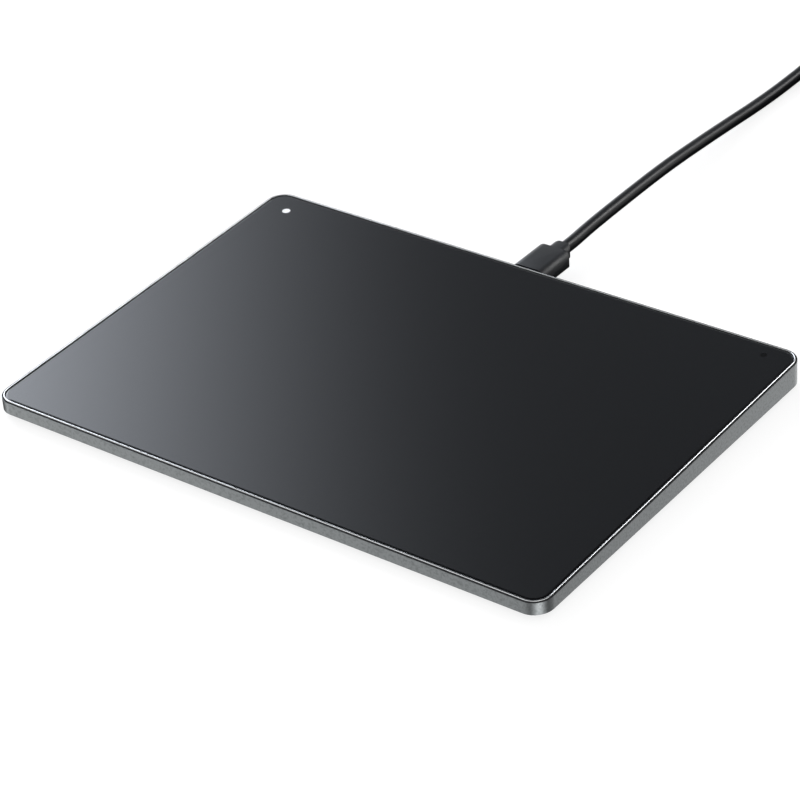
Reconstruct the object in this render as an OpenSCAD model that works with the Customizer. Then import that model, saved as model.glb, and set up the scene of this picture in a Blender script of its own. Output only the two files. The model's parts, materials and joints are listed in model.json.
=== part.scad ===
// Wedge-shaped desk trackpad with a glass surface that clicks, and its plug-in lead.
// Frame: origin on the table under the middle of the housing, +X to the user's right,
// +Y to the rear edge where the lead plugs in, +Z up. Millimetres.

/* [Body] */
// Width across the side wall, left to right
body_w = 159.5; // [150:0.5:180]
// Depth across the side wall, front to rear
body_d = 111.5; // [105:0.5:130]
// Plan corner radius of the side wall
corner_r = 4.95; // [4.4:0.05:8]
// Height of the glass above the table at its front edge
front_h = 5.05; // [5:0.05:6.5]
// Slope of the glass, rising to the rear, in degrees
tilt = 1.55; // [1.45:0.05:2.2]
// Height of the side wall's bottom edge above the table
wall_z = 1.5; // [1.2:0.1:1.7]
// Thickness of the side wall
wall_t = 1.95; // [1.6:0.05:2.4]
// Bevel on the side wall's bottom edge
wall_bevel = 0.1; // [0.05:0.05:0.5]

/* [Trim ring] */
// Width of the polished trim ring, seen from above
ring_w = 0.35; // [0.3:0.05:0.6]
// Height of the trim ring
ring_h = 0.8; // [0.6:0.05:1]
// How far the trim ring stands above the glass
ring_proud = 0.1; // [0:0.02:0.2]
// Width of the side wall's rim, which the trim ring stands inside
rim_w = 0.4; // [0.3:0.05:0.6]
// How far the rim lies below the glass surface
rim_drop = 0.25; // [0.15:0.05:0.4]
// Bevel on the trim ring's outer top edge
ring_bevel = 0.2; // [0.1:0.05:0.3]

/* [Touch plate] */
// Running gap between the glass and the trim ring
glass_gap = 0.1; // [0.08:0.02:0.3]
// Thickness of the cover glass
glass_t = 0.8; // [0.7:0.05:1]
// Width of the sloping edge round the top of the glass
glass_edge_w = 0.6; // [0.3:0.05:1]
// Drop of the sloping edge round the top of the glass
glass_edge_h = 0.2; // [0.1:0.05:0.3]
// Thickness of the bonding film
film_t = 0.1; // [0.05:0.05:0.15]
// Thickness of the sensor board
board_t = 0.8; // [0.6:0.05:0.9]
// Diameter of the lit power window in the glass
power_window_d = 2.2; // [1.6:0.1:2.8]
// Diameter of the unlit status window in the glass
status_window_d = 1.6; // [1.2:0.1:2.2]
// Distance of both windows from the side edges of the glass
window_side = 7.5; // [6:0.1:10]
// Distance of the power window from the rear edge of the glass
power_window_rear = 6.7; // [5:0.1:9]
// Distance of the status window from the rear edge of the glass
status_window_rear = 4.2; // [3.6:0.1:8]

/* [Click mechanism] */
// Travel of the switch plunger at a full click
click_travel = 0.3; // [0.2:0.05:0.3]
// Distance of the switch from the front edge of the glass
switch_front = 11; // [9:0.5:16]
// Side of the square switch body
switch_side = 4.5; // [3.5:0.1:6]
// Height of the switch body
switch_h = 0.9; // [0.7:0.05:1]
// Diameter of the switch plunger
plunger_d = 2.2; // [1.8:0.1:2.6]
// How far the plunger stands out of the switch body
plunger_out = 0.45; // [0.4:0.05:0.5]
// Length of the plunger held in the switch body
plunger_in = 0.15; // [0.1:0.05:0.2]
// Diameter of the adjusting screw under the plunger
adjuster_d = 2; // [1.6:0.1:2.4]
// Width of each hinge leaf
leaf_w = 20; // [14:1:24]
// Thickness of each hinge leaf
leaf_t = 0.2; // [0.15:0.05:0.3]
// Distance of each hinge leaf from the middle
leaf_x = 44; // [36:1:52]
// Reach of the hinge shelves into the housing
shelf_reach = 12; // [10:0.5:14]
// Thickness of the hinge shelves
shelf_t = 1.3; // [1:0.1:1.5]

/* [Base] */
// Thickness of the bottom cover
cover_t = 1.1; // [0.9:0.1:1.3]
// How far the rubber feet hold the cover off the table
foot_gap = 0.7; // [0.5:0.1:0.8]
// Length of each rubber foot
foot_l = 24; // [16:1:34]
// Width of each rubber foot
foot_w = 7; // [5:0.5:10]
// Depth of the recess that each foot is glued into
foot_recess = 0.4; // [0.2:0.05:0.6]
// Inset of the feet from the sides of the body
foot_inset = 26; // [22:1:34]
// Inset of the feet from the front and rear of the body
foot_inset_y = 13; // [11:0.5:18]
// Shank diameter of the cover screws
screw_d = 1.6; // [1.4:0.1:2]
// Head diameter of the cover screws
screw_head_d = 3; // [2.6:0.1:3.4]

/* [Port and lead] */
// Height of the port's middle above the table
port_z = 5.3; // [5.1:0.05:5.4]
// Width of the plug's moulded body
plug_w = 10.5; // [9.6:0.1:12]
// Thickness of the plug's moulded body
plug_t = 5.2; // [4.6:0.1:5.4]
// Length of the plug's moulded body
plug_l = 11.75; // [11:0.25:16]
// Width of the plug's neck
neck_w = 6; // [5.2:0.1:8]
// Thickness of the plug's neck
neck_t = 4.2; // [3.8:0.1:4.6]
// Length of the plug's neck
neck_l = 4; // [3:0.25:8]
// Diameter of the lead
cable_d = 3.4; // [2.8:0.1:3.6]
// Radius of the coil's outermost turn
coil_r = 27; // [26:0.5:34]
// Turns in each layer of the coil
coil_turns = 4; // [2:1:4]
// Clear gap between turns of the coil
coil_gap = 0.5; // [0.45:0.05:0.8]

/* [Hidden] */

$fn = 64;
joint_gap = 0.05;      // air left between pieces that move past each other
seat_gap = 0.02;       // air left between pieces that are seated on each other
hole_gap = 0.1;        // air left all round a screw or a glued-in piece
lap = 0.1;             // how far the shapes of one piece run into each other
overcut = 1;           // how far a cut runs past the face that it opens
far = 400;             // longer than anything in the housing

// Colours as the photograph shows them
c_anodised = "#7b7e80";
c_polished = "#d9dcde";
c_glass = "#232427";
c_moulded = "#2c2d2f";
c_rubber = "#1c1c1d";
c_steel = "#b4b6b8";
c_board = "#16402c";
c_chip = "#1a1a1c";
c_lit = "#ffffff";

// Plan sizes, each an inset from the outer face of the side wall
ring_inner = rim_w + ring_w;
glass_inset = ring_inner + glass_gap;
glass_w = body_w - 2 * glass_inset;
glass_d = body_d - 2 * glass_inset;
glass_r = corner_r - glass_inset;
cavity_inset = wall_t;
cover_clear = 0.15;
cover_inset = cavity_inset + cover_clear;
board_clear = 0.4;
board_inset = cavity_inset + board_clear;

// Heights of the tilted stack, as distances below the glass surface
deck_h = front_h + glass_d / 2 * sin(tilt);
ring_under = ring_h - ring_proud;
board_under = glass_t + film_t + board_t;
click_angle = atan(click_travel / switch_reach());
front_drop = (leaf_axis_y() + glass_d / 2) * tan(click_angle);
stop_gap = front_drop + joint_gap;
pad_t = 0.3;
pad_l = 10;
pad_side = 27;         // distance of the damping pads from the sides of the body
ledge = glass_t + stop_gap + pad_t;
shelf_clear = 0.4;     // air between the shelves and the board
shelf_side = 2;        // how much wider than the leaf each shelf is, on each side
shelf_top = board_under + shelf_clear;
shelf_under = shelf_top + shelf_t;
leaf_top = shelf_under + joint_gap;
leaf_bend = 7;         // free length between the shelf and the leaf's upward bend
leaf_pad = 9;          // length of the leaf bonded to the board
leaf_back = 1;         // how far the leaf stops short of the rear wall
leaf_slot_edge = 1.5;  // distance of the leaf's slot from the shelf and from the bend

// Base heights
cover_top = foot_gap + cover_t;
cover_bevel = 0.5;
foot_bevel = 0.3;
boss_r = 2.6;
boss_in = 6;
boss_drop = 0.9;       // room under the board for the pieces on it
thread_depth = 1.5;
screw_sunk = 0.1;      // how far the screw heads lie below the cover's outer face
screw_sink = (screw_head_d - screw_d) / 2;
cross_l = 1.4;
cross_w = 0.3;
cross_depth = 0.35;
pan_d = 3;             // heads of the screws inside the housing
pan_h = 0.7;
adjuster_wall = 1.5;   // wall of the cover's boss round the adjusting screw
adjuster_show = 0.3;   // how far the adjusting screw stands out of that boss
adjuster_sunk = 0.25;
adjuster_slot = 0.3;

// Chips and small components under the board
touch_chip_at = [-20, -6];
touch_chip = 7;
usb_chip_at = [22, -8];
usb_chip = 6;
chip_h = 0.85;
chip_mark_d = 0.6;
chip_mark_in = 1;
chip_mark_depth = 0.1;
part_size = [1, 0.5, 0.5];
part_pitch = 2.2;
part_row = 6;          // distance of each row from the middle of its chip

// Places of the windows and the switch on the tilted deck
power_at = [-glass_w / 2 + window_side, glass_d / 2 - power_window_rear];
status_at = [glass_w / 2 - window_side, glass_d / 2 - status_window_rear];
led_side = 2.4;
led_h = 0.6;
light_hole_d = 1.4;
switch_at = [0, -glass_d / 2 + switch_front];
tip = board_under + switch_h + plunger_out;

// Port
port_h = 3.1;
port_w = 8.9;
port_l = 7.4;
port_wall = 0.3;
port_back = 0.5;
port_y = body_d / 2;
port_board_t = 0.8;
port_board_w = 30;
port_board_d = 15;
port_board_top = port_z - port_h / 2;
port_board_y = body_d / 2 - cavity_inset - board_clear;
lug_x = 11.5;
lug_w = 6;
lug_d = 9;
lug_h = 1.6;
shell_w = 8.25;
shell_h = 2.4;
shell_l = 6.5;
shell_root = 2;        // length of the plug shell held in the moulded body
shell_wall = 0.25;
tongue_w = 6.6;
tongue_h = 0.7;
tongue_in = 1;         // how far the tongue lies behind the port's mouth
surge = [3, 1.6, 0.9];
surge_in = 11.5;       // distance of the surge protector from the port board's rear edge

// Flat cable between the port board and the sensor board
socket_w = 12;
socket_d = 3;
socket_h = 1.2;
flat_w = 9;
flat_t = 0.2;
flat_slot = 0.5;
flat_bite = 1.5;
flat_clear = 0.3;
flat_span = 16;        // distance between the two sockets
socket_edge = 0.5;
lower_socket_y = port_board_y - port_board_d + socket_d / 2 + socket_edge;
upper_socket_y = lower_socket_y - flat_span;

// Lead
plug_gap = 0.5;
plug_y = body_d / 2 + plug_gap;
plug_round = 1.8;
neck_round = 2.2;
coil_pitch = cable_d + coil_gap;
tie_t = 0.6;
tie_w = 8;
tie_clear = 0.1;
tie_round = 0.9;
coil_z = tie_t + tie_clear + cable_d / 2;
coil_top = coil_z + coil_pitch;
coil_y = 210;
coil_x = coil_r;
coil_lead_in = 4;
coil_spin = 2 * coil_turns + 0.5;
host_x = 54;
host_y = 172;
host_z = 4;
host_relief_l = 10;
relief_wall = 0.5;     // wall of the relief where the lead goes in
relief_step = 0.75;    // how far the relief's wide end stays inside the plug body's height
host_body = [16, 22, 8];
host_shell = [12, 12, 4.5];
host_wall = 0.3;
host_seat = 3;         // length of the host plug's shell held in its moulded body
host_round = 2;
host_bevel = 0.8;
host_window = [2.4, 2.2];
host_window_x = 2.6;
host_window_in = 4;    // distance of the latch windows from the tip
host_tongue_h = 1.9;
host_tongue_in = 0.6;
host_tip_y = host_y - host_relief_l - host_body.y - host_shell.y;

// Route of the lead from the plug to the coil, then from the coil to the host plug
lead_route = [[0, 72, 5.3], [0, 76, 5.3], [-0.4, 84, 5.3], [-0.6, 92, 5.3], [-0.7, 100, 5.3],
    [-0.8, 108, 5.25], [-0.95, 118, 5.05], [-1.05, 128, 4.65], [-1.1, 138, 4.05], [-1.1, 148, 3.4],
    [-1, 158, 2.75], [-0.8, 168, 2.2], [-0.55, 178, 1.95], [-0.3, 188, 2.05], [-0.1, 196, 2.3],
    [0, 202, coil_z], [0, 206, coil_z]];
tail_route = [[54, 206, coil_top], [54, 202, coil_top], [54, 197, 6.05], [54, 192, 5.5], [54, 187, 4.85],
    [54, 182, 4.25], [54, 177, 4], [54, 172, 4]];

function leaf_axis_y() = body_d / 2 - cavity_inset - shelf_reach;
function switch_reach() = leaf_axis_y() + glass_d / 2 - switch_front;

// Row height of a deck point: y along the tilted deck, drop below the glass surface
function deck_z(y, drop) = deck_h + y * sin(tilt) - drop * cos(tilt);
function deck_y(y, drop) = y * cos(tilt) + drop * sin(tilt);

// Smooth step from 0 to 1, level at both ends
function ease(s) = let(c = max(0, min(1, s))) c * c * (3 - 2 * c);

// Places its children on the tilted deck, with z = 0 on the glass surface
module on_deck() {
    translate([0, 0, deck_h]) rotate([tilt, 0, 0]) children();
}

// Flat outline with round corners
module rounded_outline(w, d, r) {
    square([w - 2 * r, d], center = true);
    square([w, d - 2 * r], center = true);
    for (x = [-1, 1], y = [-1, 1]) translate([x * (w / 2 - r), y * (d / 2 - r)]) circle(r);
}

// Slab with round corners that rises from z = 0
module rounded_slab(w, d, r, h) {
    linear_extrude(h) rounded_outline(w, d, r);
}

// Slab whose outline is the side wall's, drawn in by an inset
module body_slab(inset, h) {
    rounded_slab(body_w - 2 * inset, body_d - 2 * inset, corner_r - inset, h);
}

// Bar along X with a bevel of drop c and width e on both of its long top edges
module bevelled_bar(l, d, h, c, e) {
    translate([-l / 2, 0, 0]) rotate([90, 0, 90]) linear_extrude(l)
        polygon([[-d / 2, 0], [d / 2, 0], [d / 2, h - c], [d / 2 - e, h], [-d / 2 + e, h], [-d / 2, h - c]]);
}

// Slab with round corners and a top edge of drop c and width e: two crossed bars and four turned corners
module bevelled_slab(w, d, r, h, c, e) {
    bevelled_bar(w - 2 * r, d, h, c, e);
    rotate(90) bevelled_bar(d - 2 * r, w, h, c, e);
    for (x = [-1, 1], y = [-1, 1]) translate([x * (w / 2 - r), y * (d / 2 - r), 0])
        rotate_extrude() polygon([[0, 0], [r, 0], [r, h - c], [r - e, h], [0, h]]);
}

// Bar of obround section along +Y, w wide and h high
module obround_bar(w, h, l) {
    sliver = 0.001;
    translate([0, l, 0]) rotate([90, 0, 0]) linear_extrude(l) rounded_outline(w, h, h / 2 - sliver);
}

// Where the cover screws go, as a place and the height of the boss over it
function boss_places() = [for (x = [-1, 1], y = [-1, 0, 1])
    [x * (body_w / 2 - boss_in), y * (body_d / 2 - boss_in), boss_top(y)]];
function boss_top(row) = deck_z(row * (body_d / 2 - boss_in) - boss_r,
    row < 0 ? ledge : board_under + boss_drop);

// Post with a blind screw hole, tied into the nearest side wall
module cover_boss(place) {
    side = sign(place.x);
    h = place.z - cover_top;
    reach = body_w / 2 - wall_t / 2 - abs(place.x);
    translate([place.x, place.y, cover_top]) difference() {
        union() {
            cylinder(r = boss_r, h = h);
            translate([side > 0 ? 0 : -reach, -boss_r, 0]) cube([reach, 2 * boss_r, h]);
        }
        translate([0, 0, -overcut])
            cylinder(d = screw_d + 2 * seat_gap, h = overcut + thread_depth + hole_gap);
    }
}

// Shelf that a hinge leaf is screwed up against
module hinge_shelf(x) {
    on_deck() translate([x, 0, -shelf_under]) difference() {
        translate([-leaf_w / 2 - shelf_side, leaf_axis_y(), 0])
            cube([leaf_w + 2 * shelf_side, shelf_reach + wall_t / 2, shelf_t]);
        for (s = [-1, 1]) translate([s * leaf_w / 4, leaf_axis_y() + shelf_reach / 2, -overcut])
            cylinder(d = screw_d + 2 * seat_gap, h = shelf_t + 2 * overcut);
    }
}

// Lug that the port board is screwed up against
module port_lug(x) {
    rear = body_d / 2 - wall_t / 2;
    y0 = body_d / 2 - cavity_inset - lug_d;
    translate([x, 0, port_board_top]) difference() {
        translate([-lug_w / 2, y0, 0]) cube([lug_w, rear - y0, lug_h]);
        translate([0, y0 + lug_d / 2, -overcut])
            cylinder(d = screw_d + 2 * seat_gap, h = lug_h + 2 * overcut);
    }
}

// Anodised side wall with the ledge, the rebate for the trim ring, bosses, shelves and lugs
module frame() color(c_anodised) {
    difference() {
        translate([0, 0, wall_z + far / 10]) mirror([0, 0, 1])
            bevelled_slab(body_w, body_d, corner_r, far / 10, wall_bevel, wall_bevel);
        on_deck() translate([-far / 2, -far / 2, -rim_drop]) cube(far);
        difference() {
            translate([0, 0, wall_z - overcut]) body_slab(cavity_inset, far / 10);
            on_deck() translate([-far / 2, -far / 2, -ledge]) cube(far);
        }
        on_deck() translate([0, 0, -ledge]) body_slab(ring_inner, far / 10);
        on_deck() translate([0, 0, -ring_under]) body_slab(rim_w, far / 10);
        translate([0, port_y - wall_t - overcut, port_z])
            obround_bar(port_w + 2 * hole_gap, port_h + 2 * hole_gap, wall_t + 2 * overcut);
    }
    for (p = boss_places()) cover_boss(p);
    for (s = [-1, 1]) {
        hinge_shelf(s * leaf_x);
        port_lug(s * lug_x);
    }
}

// Polished ring that frames the glass and stands in the rebate of the side wall
module trim_ring() color(c_polished) on_deck() translate([0, 0, -ring_under]) difference() {
    inset = rim_w + seat_gap;
    bevelled_slab(body_w - 2 * inset, body_d - 2 * inset, corner_r - inset, ring_h, ring_bevel, ring_bevel);
    translate([0, 0, -overcut]) body_slab(ring_inner, ring_h + 2 * overcut);
}

// Bottom cover with foot recesses, screw holes and the boss for the adjusting screw
module bottom_cover() color(c_anodised) {
    w = body_w - 2 * cover_inset;
    d = body_d - 2 * cover_inset;
    boss_z = deck_z(switch_at.y, tip) - joint_gap - adjuster_show;
    difference() {
        union() {
            translate([0, 0, cover_top]) mirror([0, 0, 1])
                bevelled_slab(w, d, corner_r - cover_inset, cover_t, cover_bevel, cover_bevel);
            translate([0, deck_y(switch_at.y, tip), foot_gap])
                cylinder(d = adjuster_d + 2 * adjuster_wall, h = boss_z - foot_gap);
        }
        for (p = boss_places()) translate([p.x, p.y, foot_gap]) screw_hole();
        for (i = [0:3]) foot_place(i) translate([0, 0, foot_gap - overcut])
            rounded_slab(foot_l + 2 * hole_gap, foot_w + 2 * hole_gap, foot_w / 2, foot_recess + overcut);
        translate([0, deck_y(switch_at.y, tip), 0]) cylinder(d = adjuster_d + 2 * seat_gap, h = far / 10);
    }
}

// Countersunk hole for a cover screw, up from the cover's outer face
module screw_hole() {
    head = screw_head_d + 2 * hole_gap;
    shank = screw_d + 2 * hole_gap;
    translate([0, 0, -overcut]) cylinder(d = head, h = overcut + screw_sunk);
    translate([0, 0, screw_sunk]) cylinder(d1 = head, d2 = shank, h = screw_sink);
    cylinder(d = shank, h = cover_t + overcut);
}

// Six countersunk screws that hold the cover to the frame's bosses
module cover_screws() color(c_steel) for (p = boss_places()) translate([p.x, p.y, foot_gap]) {
    translate([0, 0, screw_sunk]) difference() {
        union() {
            cylinder(d1 = screw_head_d, d2 = screw_d, h = screw_sink);
            cylinder(d = screw_d, h = cover_t + thread_depth - 2 * screw_sunk);
        }
        for (a = [0, 90]) rotate(a) translate([-cross_l / 2, -cross_w / 2, -overcut])
            cube([cross_l, cross_w, overcut + cross_depth]);
    }
}

// Places its children over foot i: 0 and 1 at the front, 2 and 3 at the rear
module foot_place(i) {
    x = (i % 2 == 0 ? -1 : 1) * (body_w / 2 - foot_inset);
    y = (i < 2 ? -1 : 1) * (body_d / 2 - foot_inset_y);
    translate([x, y, 0]) children();
}

// Rubber foot with a bevelled sole
module foot(i) color(c_rubber) {
    h = foot_gap + foot_recess;
    foot_place(i) translate([0, 0, h]) mirror([0, 0, 1])
        bevelled_slab(foot_l, foot_w, foot_w / 2 - hole_gap, h, foot_bevel, foot_bevel);
}

// Black-backed cover glass with the two window holes
module cover_glass() color(c_glass) on_deck() translate([0, 0, -glass_t]) difference() {
    bevelled_slab(glass_w, glass_d, glass_r, glass_t, glass_edge_h, glass_edge_w);
    window_hole(power_at, power_window_d);
    window_hole(status_at, status_window_d);
}

module window_hole(at, d) {
    translate([at.x, at.y, -overcut]) cylinder(d = d + 2 * seat_gap, h = glass_t + 2 * overcut);
}

// Outline of the board and its bonding film: clear of the front bosses and the port
module board_outline() {
    w = body_w - 2 * board_inset;
    d = body_d - 2 * board_inset;
    notch = boss_in + boss_r + board_clear - board_inset;
    port_notch = port_l + board_clear - board_inset;
    difference() {
        rounded_outline(w, d, corner_r - board_inset);
        for (x = [-1, 1]) translate([x * w / 2, -d / 2]) square(2 * notch, center = true);
        translate([-port_w / 2 - board_clear, d / 2 - port_notch])
            square([port_w + 2 * board_clear, far / 10]);
    }
}

module light_holes(d) {
    for (at = [power_at, status_at]) translate([at.x, at.y, -overcut]) cylinder(d = d, h = far / 10);
}

// Adhesive film that bonds the board to the glass
module bonding_film() color("#101012") on_deck() translate([0, 0, -glass_t - film_t]) difference() {
    linear_extrude(film_t) board_outline();
    light_holes(light_hole_d);
}

// Touch sensor board that covers the underside of the glass
module sensor_board() color(c_board) on_deck() translate([0, 0, -board_under]) difference() {
    linear_extrude(board_t) board_outline();
    light_holes(light_hole_d);
}

// Square chip under the sensor board, with a corner mark
module board_chip(at, side, h) {
    on_deck() translate([at.x, at.y, -board_under - h]) difference() {
        translate([-side / 2, -side / 2, 0]) cube([side, side, h]);
        translate([chip_mark_in - side / 2, side / 2 - chip_mark_in, -overcut])
            cylinder(d = chip_mark_d, h = overcut + chip_mark_depth);
    }
}

module touch_controller() color(c_chip) board_chip(touch_chip_at, touch_chip, chip_h);

module usb_controller() color(c_chip) board_chip(usb_chip_at, usb_chip, chip_h);

// Capacitors and resistors in two rows beside each controller
module small_components() color("#b59a6a") on_deck()
    for (at = [touch_chip_at, usb_chip_at], row = [-1, 1], i = [-2:2])
        translate([at.x + i * part_pitch - part_size.x / 2, at.y + row * part_row - part_size.y / 2,
            -board_under - part_size.z]) cube(part_size);

// Reverse-mounted light under the board, shining up through its hole
module board_led(at) {
    on_deck() translate([at.x - led_side / 2, at.y - led_side / 2, -board_under - led_h])
        cube([led_side, led_side, led_h]);
}

module power_led() color("#f4f4ee") board_led(power_at);

module status_led() color("#f4f4ee") board_led(status_at);

// Light guide from the board's underside to a flush window in the glass
module light_window(at, d) {
    on_deck() translate([at.x, at.y, -board_under]) {
        cylinder(d = light_hole_d - 2 * seat_gap, h = board_under - glass_t + lap);
        translate([0, 0, board_under - glass_t]) cylinder(d = d, h = glass_t);
    }
}

module power_window() color(c_lit) light_window(power_at, power_window_d);

module status_window() color("#0b0b0c") light_window(status_at, status_window_d);

// Spring-steel leaf: screwed under the shelf at the rear, bonded under the board at the front
module hinge_leaf(x) {
    rear = leaf_axis_y() + shelf_reach - leaf_back;
    bend = leaf_axis_y() - leaf_bend;
    profile = [[rear, -leaf_top], [bend + leaf_t, -leaf_top], [bend + leaf_t, -board_under],
        [bend - leaf_pad, -board_under], [bend - leaf_pad, -board_under - leaf_t],
        [bend, -board_under - leaf_t], [bend, -leaf_top - leaf_t], [rear, -leaf_top - leaf_t]];
    on_deck() translate([x, 0, 0]) difference() {
        translate([-leaf_w / 2, 0, 0]) rotate([90, 0, 90]) linear_extrude(leaf_w) polygon(profile);
        for (s = [-1, 1]) translate([s * leaf_w / 4, leaf_axis_y() + shelf_reach / 2, -leaf_top - overcut])
            cylinder(d = screw_d + 4 * hole_gap, h = 2 * overcut);
        translate([-leaf_w / 6, bend + leaf_slot_edge, -leaf_top - overcut])
            cube([leaf_w / 3, leaf_bend - 2 * leaf_slot_edge, 2 * overcut]);
    }
}

// Pan-head screws that fix both leaves to their shelves
module hinge_screws() color(c_steel) on_deck() for (x = [-leaf_x, leaf_x], s = [-1, 1])
    translate([x + s * leaf_w / 4, leaf_axis_y() + shelf_reach / 2, 0]) {
        under = leaf_top + leaf_t + joint_gap;
        translate([0, 0, -under - pan_h]) cylinder(d = pan_d, h = pan_h);
        translate([0, 0, -under - lap]) cylinder(d = screw_d, h = under + lap - shelf_top);
    }

// Dome switch under the front of the board, with a bore for its plunger
module click_switch() color("#3a3b3e") on_deck()
    translate([switch_at.x, switch_at.y, -board_under - switch_h]) difference() {
        translate([-switch_side / 2, -switch_side / 2, 0]) cube([switch_side, switch_side, switch_h]);
        translate([0, 0, -overcut])
            cylinder(d = plunger_d + 2 * joint_gap, h = overcut + plunger_in + click_travel + joint_gap);
    }

// Plunger that the adjusting screw pushes into the switch
module switch_plunger() color("#c9a23b") on_deck() translate([switch_at.x, switch_at.y, -tip])
    cylinder(d = plunger_d, h = plunger_out + plunger_in);

// Screw in the cover that sets the plunger's free play
module adjusting_screw() color(c_steel) {
    top = deck_z(switch_at.y - plunger_d, tip) - joint_gap;
    bottom = foot_gap + adjuster_sunk;
    translate([0, deck_y(switch_at.y, tip), bottom]) difference() {
        cylinder(d = adjuster_d, h = top - bottom);
        translate([-adjuster_d, -cross_w / 2, -overcut])
            cube([2 * adjuster_d, cross_w, overcut + adjuster_slot]);
    }
}

// Silicone pads on the front ledge that quieten the end of the click
module damping_pads() color("#3b3d40") on_deck() for (s = [-1, 1])
    translate([s * (body_w / 2 - pad_side) - pad_l / 2, -body_d / 2 + ring_inner + hole_gap, -ledge])
        cube([pad_l, cavity_inset - ring_inner - 2 * hole_gap, pad_t]);

// Small board behind the port
module port_board() color(c_board) translate([0, 0, port_board_top - port_board_t]) difference() {
    translate([-port_board_w / 2, port_board_y - port_board_d, 0])
        cube([port_board_w, port_board_d, port_board_t]);
    for (s = [-1, 1]) translate([s * lug_x, body_d / 2 - cavity_inset - lug_d / 2, -overcut])
        cylinder(d = screw_d + 2 * hole_gap, h = port_board_t + 2 * overcut);
}

module port_board_screws() color(c_steel) for (s = [-1, 1])
    translate([s * lug_x, body_d / 2 - cavity_inset - lug_d / 2, port_board_top - port_board_t]) {
        translate([0, 0, -pan_h]) cylinder(d = pan_d, h = pan_h);
        translate([0, 0, -lap]) cylinder(d = screw_d, h = port_board_t + lug_h - 2 * lap);
    }

// Receptacle shell: an obround tube with a closed back, on top of the port board
module port_shell() color(c_steel) translate([0, port_y - port_l, port_z]) difference() {
    obround_bar(port_w, port_h, port_l);
    translate([0, port_back, 0]) obround_bar(port_w - 2 * port_wall, port_h - 2 * port_wall, port_l);
}

module port_tongue() color(c_chip)
    translate([-tongue_w / 2, port_y - port_l + port_back, port_z - tongue_h / 2])
        cube([tongue_w, port_l - port_back - tongue_in, tongue_h]);

// Surge protector beside the port on the port board
module surge_protector() color(c_chip)
    translate([-surge.x / 2, port_board_y - surge_in, port_board_top]) cube(surge);

// Socket block with a slot in the side that the flat cable enters
module flat_socket(open_side) {
    slot_d = flat_bite + flat_clear;
    slot_y = open_side > 0 ? socket_d / 2 - slot_d : -socket_d / 2 - overcut;
    difference() {
        translate([-socket_w / 2, -socket_d / 2, 0]) cube([socket_w, socket_d, socket_h]);
        translate([-flat_w / 2 - flat_clear, slot_y, socket_h / 2 - flat_slot / 2])
            cube([flat_w + 2 * flat_clear, slot_d + overcut, flat_slot]);
    }
}

module flat_cable_socket_lower() color("#e6e2d6")
    translate([0, lower_socket_y, port_board_top]) flat_socket(-1);

module flat_cable_socket_upper() color("#e6e2d6") on_deck()
    translate([0, upper_socket_y, -board_under - socket_h]) flat_socket(1);

// Flat cable: a ribbon that rises in an easy S from the lower socket to the upper one
module flat_cable() color("#d8d8d2") {
    y0 = lower_socket_y - socket_d / 2 + flat_bite;
    z0 = port_board_top + socket_h / 2;
    end = upper_socket_y + socket_d / 2 - flat_bite;
    y1 = deck_y(end, board_under + socket_h / 2);
    z1 = deck_z(end, board_under + socket_h / 2);
    steps = 16;
    run = 0.18;
    line = [for (i = [0:steps]) [y0 + (y1 - y0) * i / steps,
        z0 + (z1 - z0) * ease((i / steps - run) / (1 - 2 * run))]];
    outline = concat([for (p = line) p + [0, flat_t / 2]],
        [for (i = [steps:-1:0]) line[i] - [0, flat_t / 2]]);
    translate([-flat_w / 2, 0, 0]) rotate([90, 0, 90]) linear_extrude(flat_w) polygon(outline);
}

// Obround bar along +Y whose far end has round corners in plan
module plug_block(w, h, l, r) {
    intersection() {
        obround_bar(w, h, l);
        translate([0, 0, -h]) rounded_slab(w, 2 * l, r, 2 * h);
    }
}

// Moulded plug body with a stepped neck round the lead
module plug_body() color(c_moulded) translate([0, plug_y, port_z]) {
    difference() {
        plug_block(plug_w, plug_t, plug_l, plug_round);
        translate([0, -overcut, 0]) obround_bar(shell_w, shell_h, shell_root + overcut);
    }
    translate([0, plug_l - lap, 0]) plug_block(neck_w, neck_t, neck_l + lap, neck_round);
}

// Plug shell that goes into the receptacle, open at its tip
module plug_shell() color(c_steel) translate([0, plug_y - shell_l, port_z]) difference() {
    obround_bar(shell_w, shell_h, shell_l + shell_root);
    translate([0, -overcut, 0]) obround_bar(shell_w - 2 * shell_wall, shell_h - 2 * shell_wall, shell_l);
}

// Sweeps a round tube along points; the tube's rings stand square to the route
function unit(v) = v / norm(v);
function tangent(p, i) = unit(p[min(i + 1, len(p) - 1)] - p[max(i - 1, 0)]);
function tube_ring(p, i, r, sides) = let(t = tangent(p, i), n = unit(cross(t, [0, 0, 1])), b = cross(n, t))
    [for (k = [0:sides - 1]) p[i] + r * (cos(360 * k / sides) * n + sin(360 * k / sides) * b)];
module tube(p, r, sides) {
    n = len(p);
    rings = [for (i = [0:n - 1]) each tube_ring(p, i, r, sides)];
    walls = [for (i = [0:n - 2], k = [0:sides - 1]) let(a = i * sides + k, b = i * sides + (k + 1) % sides)
        each [[a, b, b + sides], [a, b + sides, a + sides]]];
    last = (n - 1) * sides;
    caps = [for (k = [1:sides - 2]) each [[0, k + 1, k], [last, last + k, last + k + 1]]];
    polyhedron(rings, concat(walls, caps));
}

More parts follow.
